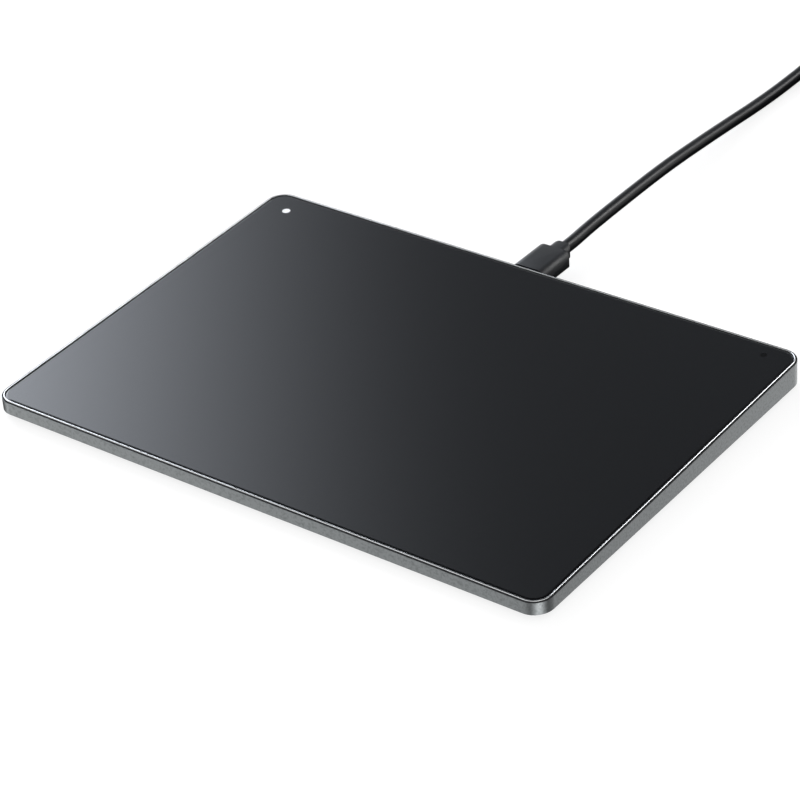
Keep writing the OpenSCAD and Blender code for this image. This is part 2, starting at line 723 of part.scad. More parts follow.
// Centre line of the coil: in on the lower layer, out again on the upper one
function coil_radius(t) = coil_r - coil_pitch * min(t, coil_spin - t);
function coil_climb(t) = coil_z + coil_pitch * ease((t - coil_turns) * 2);
function coil_point(t) = let(a = 180 - 360 * t)
    [coil_x + coil_radius(t) * cos(a), coil_y + coil_radius(t) * sin(a), coil_climb(t)];
ring_count = 24;
coil_line = concat([[coil_point(0).x, coil_y - coil_lead_in, coil_z]],
    [for (i = [0:coil_spin * ring_count]) coil_point(i / ring_count)],
    [[coil_point(coil_spin).x, coil_y - coil_lead_in, coil_top]]);

// Least clear gap between turns that pass each other, measured on the centre line
function coil_least_gap() = let(last = len(coil_line) - 1)
    min([for (i = [0:last], j = [i + ring_count / 2:1:last]) norm(coil_line[i] - coil_line[j])]) - cable_d;

module lead_run() color(c_moulded) tube(lead_route, cable_d / 2, 8);

module lead_coil() color(c_moulded) {
    echo(coil_least_gap = coil_least_gap());
    tube(coil_line, cable_d / 2, 6);
}

module lead_tail() color(c_moulded) tube(tail_route, cable_d / 2, 8);

// Strap that holds the coil's turns together
module coil_tie() color(c_rubber) {
    eye_r = coil_radius(coil_spin / 2) - cable_d / 2;
    inner = sqrt(eye_r * eye_r - tie_w * tie_w / 4) - tie_clear;
    outer = coil_r + cable_d / 2 + tie_clear;
    w = outer - inner;
    h = coil_pitch + cable_d + 2 * tie_clear;
    translate([coil_x - tie_w / 2, coil_y + (outer + inner) / 2, tie_t + h / 2]) rotate([90, 0, 90])
        linear_extrude(tie_w) difference() {
            rounded_outline(w + 2 * tie_t, h + 2 * tie_t, tie_round + tie_t);
            rounded_outline(w, h, tie_round);
        }
}

// Tapered sleeve between the lead and the host plug
module host_plug_relief() color(c_moulded) translate([host_x, host_y, host_z]) rotate([90, 0, 0])
    cylinder(d1 = cable_d + 2 * relief_wall, d2 = host_body.z - 2 * relief_step, h = host_relief_l);

module host_plug_body() color(c_moulded) translate([host_x, host_y - host_relief_l - host_body.y / 2, 0]) {
    difference() {
        intersection() {
            bevelled_slab(host_body.x, host_body.y, host_round, host_body.z, host_bevel, host_bevel);
            translate([0, 0, host_body.z]) mirror([0, 0, 1])
                bevelled_slab(host_body.x, host_body.y, host_round, host_body.z, host_bevel, host_bevel);
        }
        translate([-host_shell.x / 2, -host_body.y / 2 - overcut, host_z - host_shell.z / 2])
            cube([host_shell.x, host_seat + overcut, host_shell.z]);
    }
}

// Host plug shell: a square tube open at its tip
module host_plug_shell() color(c_steel)
    translate([host_x, host_tip_y, host_z - host_shell.z / 2]) difference() {
        translate([-host_shell.x / 2, 0, 0]) cube([host_shell.x, host_shell.y + host_seat, host_shell.z]);
        translate([host_wall - host_shell.x / 2, -overcut, host_wall])
            cube([host_shell.x - 2 * host_wall, host_shell.y + overcut, host_shell.z - 2 * host_wall]);
        for (s = [-1, 1]) translate([s * host_window_x - host_window.x / 2, host_window_in, -overcut])
            cube([host_window.x, host_window.y, far / 10]);
    }

// Tongue that fills the lower half of the host plug's shell
module host_plug_tongue() color("#d9d9d6")
    translate([host_x - host_shell.x / 2 + host_wall, host_tip_y + host_tongue_in,
        host_z - host_shell.z / 2 + host_wall])
        cube([host_shell.x - 2 * host_wall, host_shell.y - host_tongue_in, host_tongue_h]);

frame();
trim_ring();
bottom_cover();
cover_screws();
foot(0);  // foot_front_left
foot(1);  // foot_front_right
foot(2);  // foot_rear_left
foot(3);  // foot_rear_right
cover_glass();
bonding_film();
sensor_board();
touch_controller();
usb_controller();
small_components();
power_led();
status_led();
power_window();
status_window();
color(c_steel) hinge_leaf(-leaf_x);  // hinge_leaf_left
color(c_steel) hinge_leaf(leaf_x);  // hinge_leaf_right
hinge_screws();
click_switch();
switch_plunger();
adjusting_screw();
damping_pads();
port_board();
port_board_screws();
port_shell();
port_tongue();
surge_protector();
flat_cable();
flat_cable_socket_lower();
flat_cable_socket_upper();
plug_body();
plug_shell();
lead_run();
lead_coil();
lead_tail();
coil_tie();
host_plug_relief();
host_plug_body();
host_plug_shell();
host_plug_tongue();
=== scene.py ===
"""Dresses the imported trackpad: its finishes, its moulded plugs and lead, and the studio that shows it.

Lengths in the classes are millimetres in the part's own frame, and MM turns them to Blender's metres.
"""

import json
import logging
import math
from collections.abc import Callable, Iterator, Mapping, Sequence
from contextlib import contextmanager
from dataclasses import dataclass
from enum import Enum
from typing import Any

import bpy
from mathutils import Matrix, Vector


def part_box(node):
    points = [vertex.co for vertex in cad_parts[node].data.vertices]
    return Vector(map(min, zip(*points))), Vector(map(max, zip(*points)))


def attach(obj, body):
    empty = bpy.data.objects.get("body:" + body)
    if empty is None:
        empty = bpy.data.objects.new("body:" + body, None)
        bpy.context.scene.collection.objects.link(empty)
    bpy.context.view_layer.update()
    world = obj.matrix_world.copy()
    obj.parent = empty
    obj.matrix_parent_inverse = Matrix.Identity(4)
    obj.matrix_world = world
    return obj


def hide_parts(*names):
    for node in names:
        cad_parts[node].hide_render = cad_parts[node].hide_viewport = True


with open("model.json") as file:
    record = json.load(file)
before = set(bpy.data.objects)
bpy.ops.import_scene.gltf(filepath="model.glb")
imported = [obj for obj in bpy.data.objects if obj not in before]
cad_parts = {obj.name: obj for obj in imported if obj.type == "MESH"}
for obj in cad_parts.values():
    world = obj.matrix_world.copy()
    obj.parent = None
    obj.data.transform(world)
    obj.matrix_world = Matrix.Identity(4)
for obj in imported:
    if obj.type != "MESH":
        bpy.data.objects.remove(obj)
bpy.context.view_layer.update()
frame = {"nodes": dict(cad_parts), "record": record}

MM = 0.001
# The angle from which an edge counts as sharp
SHARP_DEG = 35.0
Point = tuple[float, float, float]
log = logging.getLogger("trackpad")


class Body(Enum):
    """The bodies that pieces ride on."""

    HOUSING = "housing"
    LEAD = "lead"


class Slot(Enum):
    """The record's material slots."""

    ANODISED_ALUMINIUM = "anodised_aluminium"
    ANODISED_COVER = "anodised_cover"
    POLISHED_ALUMINIUM = "polished_aluminium"
    SCREW_STEEL = "screw_steel"
    SPRING_STEEL = "spring_steel"
    PLATED_STEEL = "plated_steel"
    FOOT_RUBBER = "foot_rubber"
    BLACK_GLASS = "black_glass"
    FILM = "film"
    CIRCUIT_BOARD = "circuit_board"
    CHIP_PLASTIC = "chip_plastic"
    CERAMIC = "ceramic"
    LED_BODY = "led_body"
    LIT_WINDOW = "lit_window"
    DARK_WINDOW = "dark_window"
    SWITCH_HOUSING = "switch_housing"
    SWITCH_PLUNGER = "switch_plunger"
    RIBBON = "ribbon"
    SOCKET_PLASTIC = "socket_plastic"
    MOULDED_PLUG = "moulded_plug"
    LEAD_JACKET = "lead_jacket"
    TIE_STRAP = "tie_strap"


class Pick(Enum):
    """What edit mode selects."""

    POINTS = (True, False, False)
    EDGES = (False, True, False)
    FACES = (False, False, True)


class Axis(Enum):
    """A direction that lines in a finish run along."""

    X = 0
    Y = 1
    Z = 2


# Finishes


def linear(code: str) -> tuple[float, float, float, float]:
    """Turns an sRGB hex colour into the linear colour that Blender takes.

    Args:
        code: the colour as "#rrggbb".

    Returns:
        Linear red, green and blue, and an alpha of 1.
    """
    shares = [int(code[i : i + 2], 16) / 255 for i in (1, 3, 5)]
    red, green, blue = [s / 12.92 if s <= 0.04045 else ((s + 0.055) / 1.055) ** 2.4 for s in shares]
    return red, green, blue, 1.0


def per_metre(pitch_mm: float) -> float:
    """Gives a texture's scale for features about pitch_mm apart."""
    return 1 / (pitch_mm * MM)


def waves_per_metre(pitch_mm: float) -> float:
    """Gives a wave texture's scale for ridges pitch_mm apart: it draws 20 / tau of them to a unit."""
    return per_metre(pitch_mm) * math.tau / 20


def new_material(name: str) -> tuple[bpy.types.Material, bpy.types.NodeTree]:
    """Makes a material that is ready for nodes.

    Args:
        name: the material's name.

    Returns:
        The material and its node tree.
    """
    material = bpy.data.materials.new(name)
    material.use_nodes = True
    return material, material.node_tree


def add_node(
    tree: bpy.types.NodeTree,
    kind: str,
    settings: Mapping[str, Any] | None = None,
    inputs: Mapping[str | int, Any] | None = None,
) -> bpy.types.Node:
    """Adds a shader node, sets its properties and fills or links its inputs.

    Args:
        tree: the node tree that gets the node.
        kind: the node's type, without its ShaderNode prefix.
        settings: property values by name.
        inputs: a value or an output socket for each input, by name or place.

    Returns:
        The new node.
    """
    node = tree.nodes.new("ShaderNode" + kind)
    for name, value in (settings or {}).items():
        setattr(node, name, value)
    for name, value in (inputs or {}).items():
        if isinstance(value, bpy.types.NodeSocket):
            tree.links.new(value, node.inputs[name])
        else:
            node.inputs[name].default_value = value
    return node


@dataclass(frozen=True)
class Finish:
    """A moulded, blasted or etched surface: two tones that drift into each other under a fine grain.

    specular is the share of mirrored light, where 0.5 is what the index gives. drift_mm and grain_mm are the
    sizes of the tone patches and of the grain, grain_depth_mm is how deep the grain is, and gloss_spread is
    how far the roughness strays to either side.
    """

    name: str
    tone: str
    drift_tone: str
    roughness: float
    metallic: float = 0.0
    ior: float = 1.5
    specular: float = 0.5
    drift_mm: float = 8.0
    grain_mm: float = 0.5
    grain_depth_mm: float = 0.004
    gloss_spread: float = 0.05

    def material(self) -> bpy.types.Material:
        """Gives the finish's material, and makes it the first time."""
        found = bpy.data.materials.get(self.name)
        return found if found else self.build()

    def build(self) -> bpy.types.Material:
        """Makes the material.

        Returns:
            A material whose constant values sit on the shader's own sockets.
        """
        material, tree = new_material(self.name)
        shader = tree.nodes["Principled BSDF"]
        shader.inputs["Metallic"].default_value = self.metallic
        if not self.metallic:
            shader.inputs["IOR"].default_value = self.ior
            shader.inputs["Specular IOR Level"].default_value = self.specular
        place = add_node(tree, "TexCoord").outputs["Object"]
        tree.links.new(self.colour(tree, place), shader.inputs["Base Color"])
        grain = self.grain(tree, place)
        gloss = add_node(
            tree,
            "MapRange",
            inputs={
                "Value": grain,
                "To Min": self.roughness - self.gloss_spread,
                "To Max": self.roughness + self.gloss_spread,
            },
        )
        tree.links.new(gloss.outputs["Result"], shader.inputs["Roughness"])
        bump = add_node(
            tree, "Bump", inputs={"Strength": 1.0, "Distance": self.grain_depth_mm * MM, "Height": grain}
        )
        tree.links.new(bump.outputs["Normal"], shader.inputs["Normal"])
        return material

    def colour(self, tree: bpy.types.NodeTree, place: bpy.types.NodeSocket) -> bpy.types.NodeSocket:
        """Mixes the two tones in soft patches.

        Args:
            tree: the material's nodes.
            place: the surface point in the part's frame.

        Returns:
            The colour's socket.
        """
        patches = add_node(
            tree, "TexNoise", inputs={"Vector": place, "Scale": per_metre(self.drift_mm), "Detail": 3.0}
        )
        tones = {0: patches.outputs[0], 6: linear(self.tone), 7: linear(self.drift_tone)}
        return add_node(tree, "Mix", {"data_type": "RGBA"}, tones).outputs[2]

    def grain(self, tree: bpy.types.NodeTree, place: bpy.types.NodeSocket) -> bpy.types.NodeSocket:
        """Draws the grain that the gloss and the bump follow.

        Args:
            tree: the material's nodes.
            place: the surface point in the part's frame.

        Returns:
            A socket with a value from 0 to 1.
        """
        noise = add_node(
            tree, "TexNoise", inputs={"Vector": place, "Scale": per_metre(self.grain_mm), "Detail": 2.0}
        )
        return noise.outputs[0]


@dataclass(frozen=True)
class LinedFinish(Finish):
    """A rolled, drawn or cut metal, whose grain is fine lines along one axis."""

    along: Axis = Axis.X
    stretch: float = 40.0

    def grain(self, tree: bpy.types.NodeTree, place: bpy.types.NodeSocket) -> bpy.types.NodeSocket:
        """Draws the grain out along the axis of the lines.

        Args:
            tree: the material's nodes.
            place: the surface point in the part's frame.

        Returns:
            A socket with a value from 0 to 1.
        """
        scale = [1 / self.stretch if axis is self.along else 1.0 for axis in Axis]
        drawn = add_node(tree, "Mapping", inputs={"Vector": place, "Scale": scale})
        return super().grain(tree, drawn.outputs["Vector"])


@dataclass(frozen=True)
class GrainedFinish(Finish):
    """A bead-blasted metal, whose pits are dark enough to show as specks of another tone.

    pit_start and pit_full are the values of the grain where a pit starts to show and where it is darkest.
    """

    speck_tone: str = "#000000"
    speck_share: float = 0.3
    pit_start: float = 0.45
    pit_full: float = 0.75

    def colour(self, tree: bpy.types.NodeTree, place: bpy.types.NodeSocket) -> bpy.types.NodeSocket:
        """Adds the specks to the drifting tones.

        Args:
            tree: the material's nodes.
            place: the surface point in the part's frame.

        Returns:
            The colour's socket.
        """
        pits = add_node(
            tree,
            "MapRange",
            inputs={
                "Value": self.grain(tree, place),
                "From Min": self.pit_start,
                "From Max": self.pit_full,
                "To Max": self.speck_share,
            },
        )
        tones = {0: pits.outputs["Result"], 6: super().colour(tree, place), 7: linear(self.speck_tone)}
        return add_node(tree, "Mix", {"data_type": "RGBA"}, tones).outputs[2]


@dataclass(frozen=True)
class BoardFinish(Finish):
    """Solder mask over copper: the traces show through as a lighter grid of blocks and lanes."""

    trace_tone: str = "#2f7d52"
    trace_mm: float = 2.4
    trace_share: float = 0.05

    def colour(self, tree: bpy.types.NodeTree, place: bpy.types.NodeSocket) -> bpy.types.NodeSocket:
        """Lays the traces over the mask's drifting tones.

        Args:
            tree: the material's nodes.
            place: the surface point in the part's frame.

        Returns:
            The colour's socket.
        """
        mask = super().colour(tree, place)
        lanes = add_node(
            tree,
            "TexBrick",
            inputs={
                "Vector": place,
                "Color1": mask,
                "Color2": mask,
                "Mortar": linear(self.trace_tone),
                "Scale": per_metre(self.trace_mm),
                "Mortar Size": self.trace_share,
            },
        )
        return lanes.outputs["Color"]


@dataclass(frozen=True)
class StripedFinish(Finish):
    """Laminated flat cable: tinned conductors show as pale stripes through the film."""

    stripe_tone: str = "#8e8f88"
    stripe_mm: float = 1.0

    def colour(self, tree: bpy.types.NodeTree, place: bpy.types.NodeSocket) -> bpy.types.NodeSocket:
        """Draws one stripe for each conductor, across X.

        Args:
            tree: the material's nodes.
            place: the surface point in the part's frame.

        Returns:
            The colour's socket.
        """
        wave = add_node(tree, "TexWave", inputs={"Vector": place, "Scale": waves_per_metre(self.stripe_mm)})
        tones = {0: wave.outputs["Fac"], 6: super().colour(tree, place), 7: linear(self.stripe_tone)}
        return add_node(tree, "Mix", {"data_type": "RGBA"}, tones).outputs[2]


@dataclass(frozen=True)
class WovenFinish(Finish):
    """Woven tape: warp and weft cross as two sets of ridges, a thread apart."""

    def grain(self, tree: bpy.types.NodeTree, place: bpy.types.NodeSocket) -> bpy.types.NodeSocket:
        """Crosses two sets of ridges, and roughens them with stray fibres.

        Args:
            tree: the material's nodes.
            place: the surface point in the part's frame.

        Returns:
            A socket with a value from 0 to 1.
        """
        ridges = {"Vector": place, "Scale": waves_per_metre(self.grain_mm), "Distortion": 1.5, "Detail": 2.0}
        threads = [
            add_node(tree, "TexWave", {"bands_direction": direction}, ridges).outputs["Fac"]
            for direction in ("X", "DIAGONAL")
        ]
        return add_node(tree, "Math", {"operation": "MULTIPLY"}, dict(enumerate(threads))).outputs[0]


@dataclass(frozen=True)
class LitFinish(Finish):
    """A lit light guide: brightest in the middle, dimmer and a little cooler at its rim."""

    centre: Point = (0.0, 0.0, 0.0)
    radius_mm: float = 1.1
    rim_tone: str = "#85888c"
    strength: float = 0.65

    def build(self) -> bpy.types.Material:
        """Makes the moulded guide, then lights it from its middle.

        Returns:
            The lit material.
        """
        material = super().build()
        tree = material.node_tree
        shader = tree.nodes["Principled BSDF"]
        place = add_node(tree, "TexCoord").outputs["Object"]
        away = add_node(
            tree, "VectorMath", {"operation": "DISTANCE"}, {0: place, 1: [x * MM for x in self.centre]}
        )
        rim = add_node(
            tree,
            "MapRange",
            inputs={"Value": away.outputs["Value"], "From Min": 0.0, "From Max": self.radius_mm * MM},
        )
        tones = {0: rim.outputs["Result"], 6: linear(self.tone), 7: linear(self.rim_tone)}
        light = add_node(tree, "Mix", {"data_type": "RGBA"}, tones)
        tree.links.new(light.outputs[2], shader.inputs["Emission Color"])
        shader.inputs["Emission Strength"].default_value = self.strength
        return material


# Bead-blasted and anodised aluminium: a satin grey whose fine pits scatter the light.
# Real grit is near 0.1 mm; it is drawn at 0.55 mm so that it shows at the picture's scale.
BLASTED_ALUMINIUM = GrainedFinish(
    "anodised_aluminium_bead_blasted",
    "#8b8f90",
    "#858889",
    roughness=0.36,
    metallic=1.0,
    drift_mm=14.0,
    grain_mm=0.55,
    grain_depth_mm=0.006,
    speck_tone="#606364",
    speck_share=0.6,
)

# Anodised sheet under the body: the same grey, rolled smoother than the blasted wall.
ANODISED_SHEET = GrainedFinish(
    "anodised_aluminium_sheet",
    "#83868a",
    "#7d8083",
    roughness=0.5,
    metallic=1.0,
    drift_mm=30.0,
    grain_mm=0.4,
    speck_tone="#6c6f72",
)

# Diamond-cut aluminium: the cutter leaves a bright chamfer with faint lines along it.
CUT_ALUMINIUM = LinedFinish(
    "polished_aluminium_diamond_cut",
    "#eceeef",
    "#e2e4e6",
    roughness=0.2,
    metallic=1.0,
    grain_mm=0.25,
    grain_depth_mm=0.0002,
    gloss_spread=0.02,
)

# The ring's outer side: anodised aluminium toned near black, painted shade for the dark line under the bright
# crown.
RING_SIDE_PAINTED_SHADE = Finish(
    "anodised_aluminium_painted_shade_side",
    "#2e3032",
    "#292b2d",
    roughness=0.5,
    metallic=1.0,
    grain_mm=0.3,
)

# Gold flash over nickel on the contacts.
GOLD_CONTACT = LinedFinish(
    "gold_plated_contact",
    "#d9b25a",
    "#cfa64c",
    roughness=0.25,
    metallic=1.0,
    grain_mm=0.1,
    grain_depth_mm=0.001,
    along=Axis.Y,
)

# Etched cover glass over black ink: the etch blurs reflections without sparkling.
ETCHED_GLASS = Finish(
    "black_backed_etched_glass",
    "#0d0e10",
    "#0b0c0d",
    roughness=0.2,
    drift_mm=40.0,
    grain_mm=0.3,
    grain_depth_mm=0.0004,
    gloss_spread=0.015,
)

FINISHES: dict[Slot, Finish] = {
    Slot.ANODISED_ALUMINIUM: BLASTED_ALUMINIUM,
    Slot.ANODISED_COVER: ANODISED_SHEET,
    Slot.POLISHED_ALUMINIUM: CUT_ALUMINIUM,
    Slot.BLACK_GLASS: ETCHED_GLASS,
    # Zinc-plated steel, cold headed: dull grey with drawn lines.
    Slot.SCREW_STEEL: LinedFinish(
        "zinc_plated_steel", "#9c9c9b", "#8d8d8c", roughness=0.38, metallic=1.0, grain_mm=0.2, along=Axis.Z
    ),
    # Cold-rolled spring steel: rolling lines run along the leaf.
    Slot.SPRING_STEEL: LinedFinish(
        "rolled_spring_steel", "#b9bab9", "#adaeae", roughness=0.3, metallic=1.0, grain_mm=0.25, along=Axis.Y
    ),
    # Nickel-plated steel, deep drawn: bright, with faint draw lines.
    Slot.PLATED_STEEL: LinedFinish(
        "nickel_plated_steel", "#cfceca", "#c4c3bf", roughness=0.24, metallic=1.0, grain_mm=0.15, along=Axis.Y
    ),
    # Silicone rubber, compression moulded: dull black, slightly dusty.
    Slot.FOOT_RUBBER: Finish(
        "silicone_rubber", "#232325", "#2a2a2b", roughness=0.78, ior=1.41, grain_mm=0.35, grain_depth_mm=0.02
    ),
    # Black acrylic adhesive film.
    Slot.FILM: Finish("acrylic_film", "#121214", "#17171a", roughness=0.6, ior=1.49, grain_mm=0.8),
    # Glass-fibre laminate under green solder mask.
    Slot.CIRCUIT_BOARD: BoardFinish("solder_masked_laminate", "#16402c", "#123824", roughness=0.35, ior=1.55),
    # Transfer-moulded epoxy: near black with a fine pebble.
    Slot.CHIP_PLASTIC: Finish(
        "moulded_epoxy", "#1b1b1d", "#222224", roughness=0.55, grain_mm=0.2, grain_depth_mm=0.01
    ),
    # Fired ceramic: tan, with a fine matt grain.
    Slot.CERAMIC: Finish("fired_ceramic", "#b59a6a", "#a78b5c", roughness=0.5, ior=1.7, grain_mm=0.25),
    # Epoxy-filled light, milky where the phosphor is.
    Slot.LED_BODY: Finish("phosphor_epoxy", "#f1efdd", "#e3deb8", roughness=0.3, drift_mm=1.2),
    # Smoked acrylic light guide, unlit.
    Slot.DARK_WINDOW: Finish("smoked_acrylic", "#020202", "#030303", roughness=0.4, ior=1.49, specular=0.15),
    # Glass-filled nylon, moulded.
    Slot.SWITCH_HOUSING: Finish("glass_filled_nylon", "#3a3b3e", "#333437", roughness=0.55, ior=1.53),
    # Acetal plunger, slightly waxy.
    Slot.SWITCH_PLUNGER: Finish("moulded_acetal", "#c9a23b", "#bd9733", roughness=0.35, ior=1.48),
    # Polyester flat cable.
    Slot.RIBBON: StripedFinish("laminated_polyester", "#d8d8d2", "#cfcfc8", roughness=0.4, ior=1.57),
    # Liquid-crystal polymer, moulded: ivory.
    Slot.SOCKET_PLASTIC: Finish("moulded_lcp", "#dedacd", "#d3cebf", roughness=0.5, ior=1.6),
    # Soft vinyl moulded over the plug, spark-eroded so that it is matt.
    Slot.MOULDED_PLUG: Finish(
        "moulded_vinyl",
        "#28292b",
        "#242527",
        roughness=0.4,
        ior=1.53,
        specular=0.44,
        drift_mm=6.0,
        grain_mm=0.3,
        grain_depth_mm=0.012,
    ),
    # Extruded vinyl jacket: smoother than the moulding, with a soft sheen along it.
    Slot.LEAD_JACKET: Finish(
        "extruded_vinyl",
        "#17181a",
        "#141517",
        roughness=0.34,
        ior=1.53,
        drift_mm=10.0,
        grain_mm=0.6,
        grain_depth_mm=0.01,
    ),
    # Woven nylon tape with a brushed loop face.
    Slot.TIE_STRAP: WovenFinish(
        "woven_nylon", "#1e1e20", "#29292b", roughness=0.85, ior=1.53, grain_mm=0.9, grain_depth_mm=0.12
    ),
}


# Modelling


def rest() -> None:
    """Leaves edit mode and leaves nothing selected."""
    if bpy.context.object and bpy.context.object.mode != "OBJECT":
        bpy.ops.object.mode_set(mode="OBJECT")
    bpy.ops.object.select_all(action="DESELECT")


def take(piece: bpy.types.Object) -> None:
    """Selects one piece alone and makes it the active one.

    Args:
        piece: the object.
    """
    rest()
    piece.select_set(True)
    bpy.context.view_layer.objects.active = piece


@contextmanager
def editing(piece: bpy.types.Object, pick: Pick) -> Iterator[None]:
    """Opens a piece in edit mode, with what was flagged in its mesh selected.

    Args:
        piece: the mesh object to edit.
        pick: the kind of element that is selected.

    Returns:
        A context that leaves edit mode at its end.
    """
    take(piece)
    bpy.context.tool_settings.mesh_select_mode = pick.value
    bpy.ops.object.mode_set(mode="EDIT")
    yield
    bpy.ops.object.mode_set(mode="OBJECT")


def settle_place(piece: bpy.types.Object) -> None:
    """Moves a piece's place, turn and scale into its mesh."""
    take(piece)
    bpy.ops.object.transform_apply(location=True, rotation=True, scale=True)


def add_plane(name: str, side: float) -> bpy.types.Object:
    """Adds a flat square at the origin.

    Args:
        name: the object's name.
        side: the length of its sides in metres.

    Returns:
        The square.
    """
    rest()
    bpy.ops.mesh.primitive_plane_add(size=side)
    plane = bpy.context.object
    plane.name = name
    return plane


def add_block(name: str, size: Point, centre: Point) -> bpy.types.Object:
    """Adds a cube drawn out to a size at a place.

    Args:
        name: the object's name.
        size: its width, depth and height.
        centre: its middle.

    Returns:
        The block, with its place in its mesh.
    """
    rest()
    bpy.ops.mesh.primitive_cube_add(size=1.0)
    block = bpy.context.object
    block.name = name
    block.scale = Vector(size) * MM
    block.location = Vector(centre) * MM
    settle_place(block)
    return block


def flag_edges(piece: bpy.types.Object, test: Callable[[Vector, Vector], bool]) -> None:
    """Flags the edges whose two ends pass a test, and nothing else.

    Args:
        piece: the mesh object.
        test: is given both ends of an edge in millimetres.
    """
    mesh = piece.data
    for group in (mesh.vertices, mesh.edges, mesh.polygons):
        group.foreach_set("select", [False] * len(group))
    for edge in mesh.edges:
        first, last = (mesh.vertices[i].co / MM for i in edge.vertices)
        edge.select = test(first, last)


def round_edges(
    piece: bpy.types.Object, test: Callable[[Vector, Vector], bool], radius: float, steps: int = 2
) -> None:
    """Rounds the edges whose two ends pass a test.

    Args:
        piece: the mesh object.
        test: is given both ends of an edge in millimetres.
        radius: the rounding's radius.
        steps: how many faces make the rounding.
    """
    flag_edges(piece, test)
    with editing(piece, Pick.EDGES):
        bpy.ops.mesh.bevel(offset=radius * MM, segments=steps, affect="EDGES", clamp_overlap=True)


def change(piece: bpy.types.Object, kind: str, **settings: Any) -> None:
    """Adds a modifier and applies it.

    Args:
        piece: the mesh object.
        kind: the modifier's type.
        **settings: the modifier's values by name.
    """
    take(piece)
    modifier = piece.modifiers.new(kind.lower(), kind)
    for name, value in settings.items():
        setattr(modifier, name, value)
    bpy.ops.object.modifier_apply(modifier=modifier.name)


def combine(piece: bpy.types.Object, tool: bpy.types.Object, operation: str) -> None:
    """Joins, cuts or crosses a piece with a tool shape, which is used up."""
    change(piece, "BOOLEAN", object=tool, operation=operation, solver="EXACT")
    bpy.data.objects.remove(tool)


def shade(piece: bpy.types.Object, sharp_deg: float = SHARP_DEG) -> None:
    """Shades a piece smooth between its sharp edges."""
    take(piece)
    bpy.ops.object.shade_smooth_by_angle(angle=math.radians(sharp_deg))


def soften(piece: bpy.types.Object, width: float, steps: int = 2, sharp_deg: float = SHARP_DEG) -> None:
    """Breaks the sharp edges of a piece and shades it smooth between them.

    Args:
        piece: the mesh object.
        width: how wide the broken edges are.
        steps: how many faces round each of them.
        sharp_deg: the angle from which an edge counts as sharp.
    """
    change(
        piece,
        "BEVEL",
        width=width * MM,
        segments=steps,
        limit_method="ANGLE",
        angle_limit=math.radians(sharp_deg),
        use_clamp_overlap=True,
    )
    shade(piece, sharp_deg)


def copied(piece: bpy.types.Object, shift: Sequence[float]) -> bpy.types.Object:
    """Copies a piece, with a mesh of its own, to another place.

    Args:
        piece: the mesh object.
        shift: how far from it the copy lies.

    Returns:
        The copy, with its place in its mesh.
    """
    take(piece)
    bpy.ops.object.duplicate(linked=False)
    copy = bpy.context.object
    copy.location = Vector(shift) * MM
    settle_place(copy)
    return copy


def join(pieces: Sequence[bpy.types.Object], name: str) -> bpy.types.Object:
    """Joins separate meshes into one object.

    Args:
        pieces: the meshes.
        name: the object's name.

    Returns:
        The first of them, which now holds all.
    """
    take(pieces[0])
    for piece in pieces[1:]:
        piece.select_set(True)
    bpy.ops.object.join()
    pieces[0].name = name
    return pieces[0]


def turned(name: str, profile: Sequence[tuple[float, float]], foot: Point, steps: int) -> bpy.types.Object:
    """Draws a profile point by point and spins it about a line along Y.

    Args:
        name: the object's name.
        profile: distances along Y from foot, and radii, from axis to axis.
        foot: a point on the line.
        steps: how many faces go round.

    Returns:
        The closed turned piece.
    """
    piece = add_plane(name, MM)
    places = [Vector((foot[0] + radius, foot[1] + along, foot[2])) * MM for along, radius in profile]
    with editing(piece, Pick.POINTS):
        bpy.ops.mesh.select_all(action="SELECT")
        bpy.ops.mesh.merge(type="CENTER")
        bpy.ops.transform.translate(value=places[0])
        for last, place in zip(places, places[1:]):
            bpy.ops.mesh.extrude_region_move(TRANSFORM_OT_translate={"value": place - last})
        bpy.ops.mesh.select_all(action="SELECT")
        bpy.ops.mesh.spin(
            steps=steps, angle=math.tau, center=Vector(foot) * MM, axis=(0.0, 1.0, 0.0), use_auto_merge=True
        )
        bpy.ops.mesh.select_all(action="SELECT")
        bpy.ops.mesh.remove_doubles(threshold=0.001 * MM)
        bpy.ops.mesh.normals_make_consistent(inside=False)
    return piece


def hand_over(
    piece: bpy.types.Object, body: Body, slot: Slot, finish: Finish | None = None, nodes: Sequence[str] = ()
) -> bpy.types.Object:
    """Gives a finished piece its material, seats it on its body and reports it.

    Args:
        piece: the finished object.
        body: the body that it rides on.
        slot: the record's slot that it takes its finish from.
        finish: its finish, where that isn't the slot's own.
        nodes: the CAD nodes that it stands for.

    Returns:
        The same piece.
    """
    if not piece.data.materials:
        piece.data.materials.append((finish or FINISHES[slot]).material())
    piece.data.name = piece.name
    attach(piece, body.value)
    if nodes:
        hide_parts(*nodes)
    log.info("%s rides on %s", piece.name, body.value)
    return piece


# Sub-assemblies


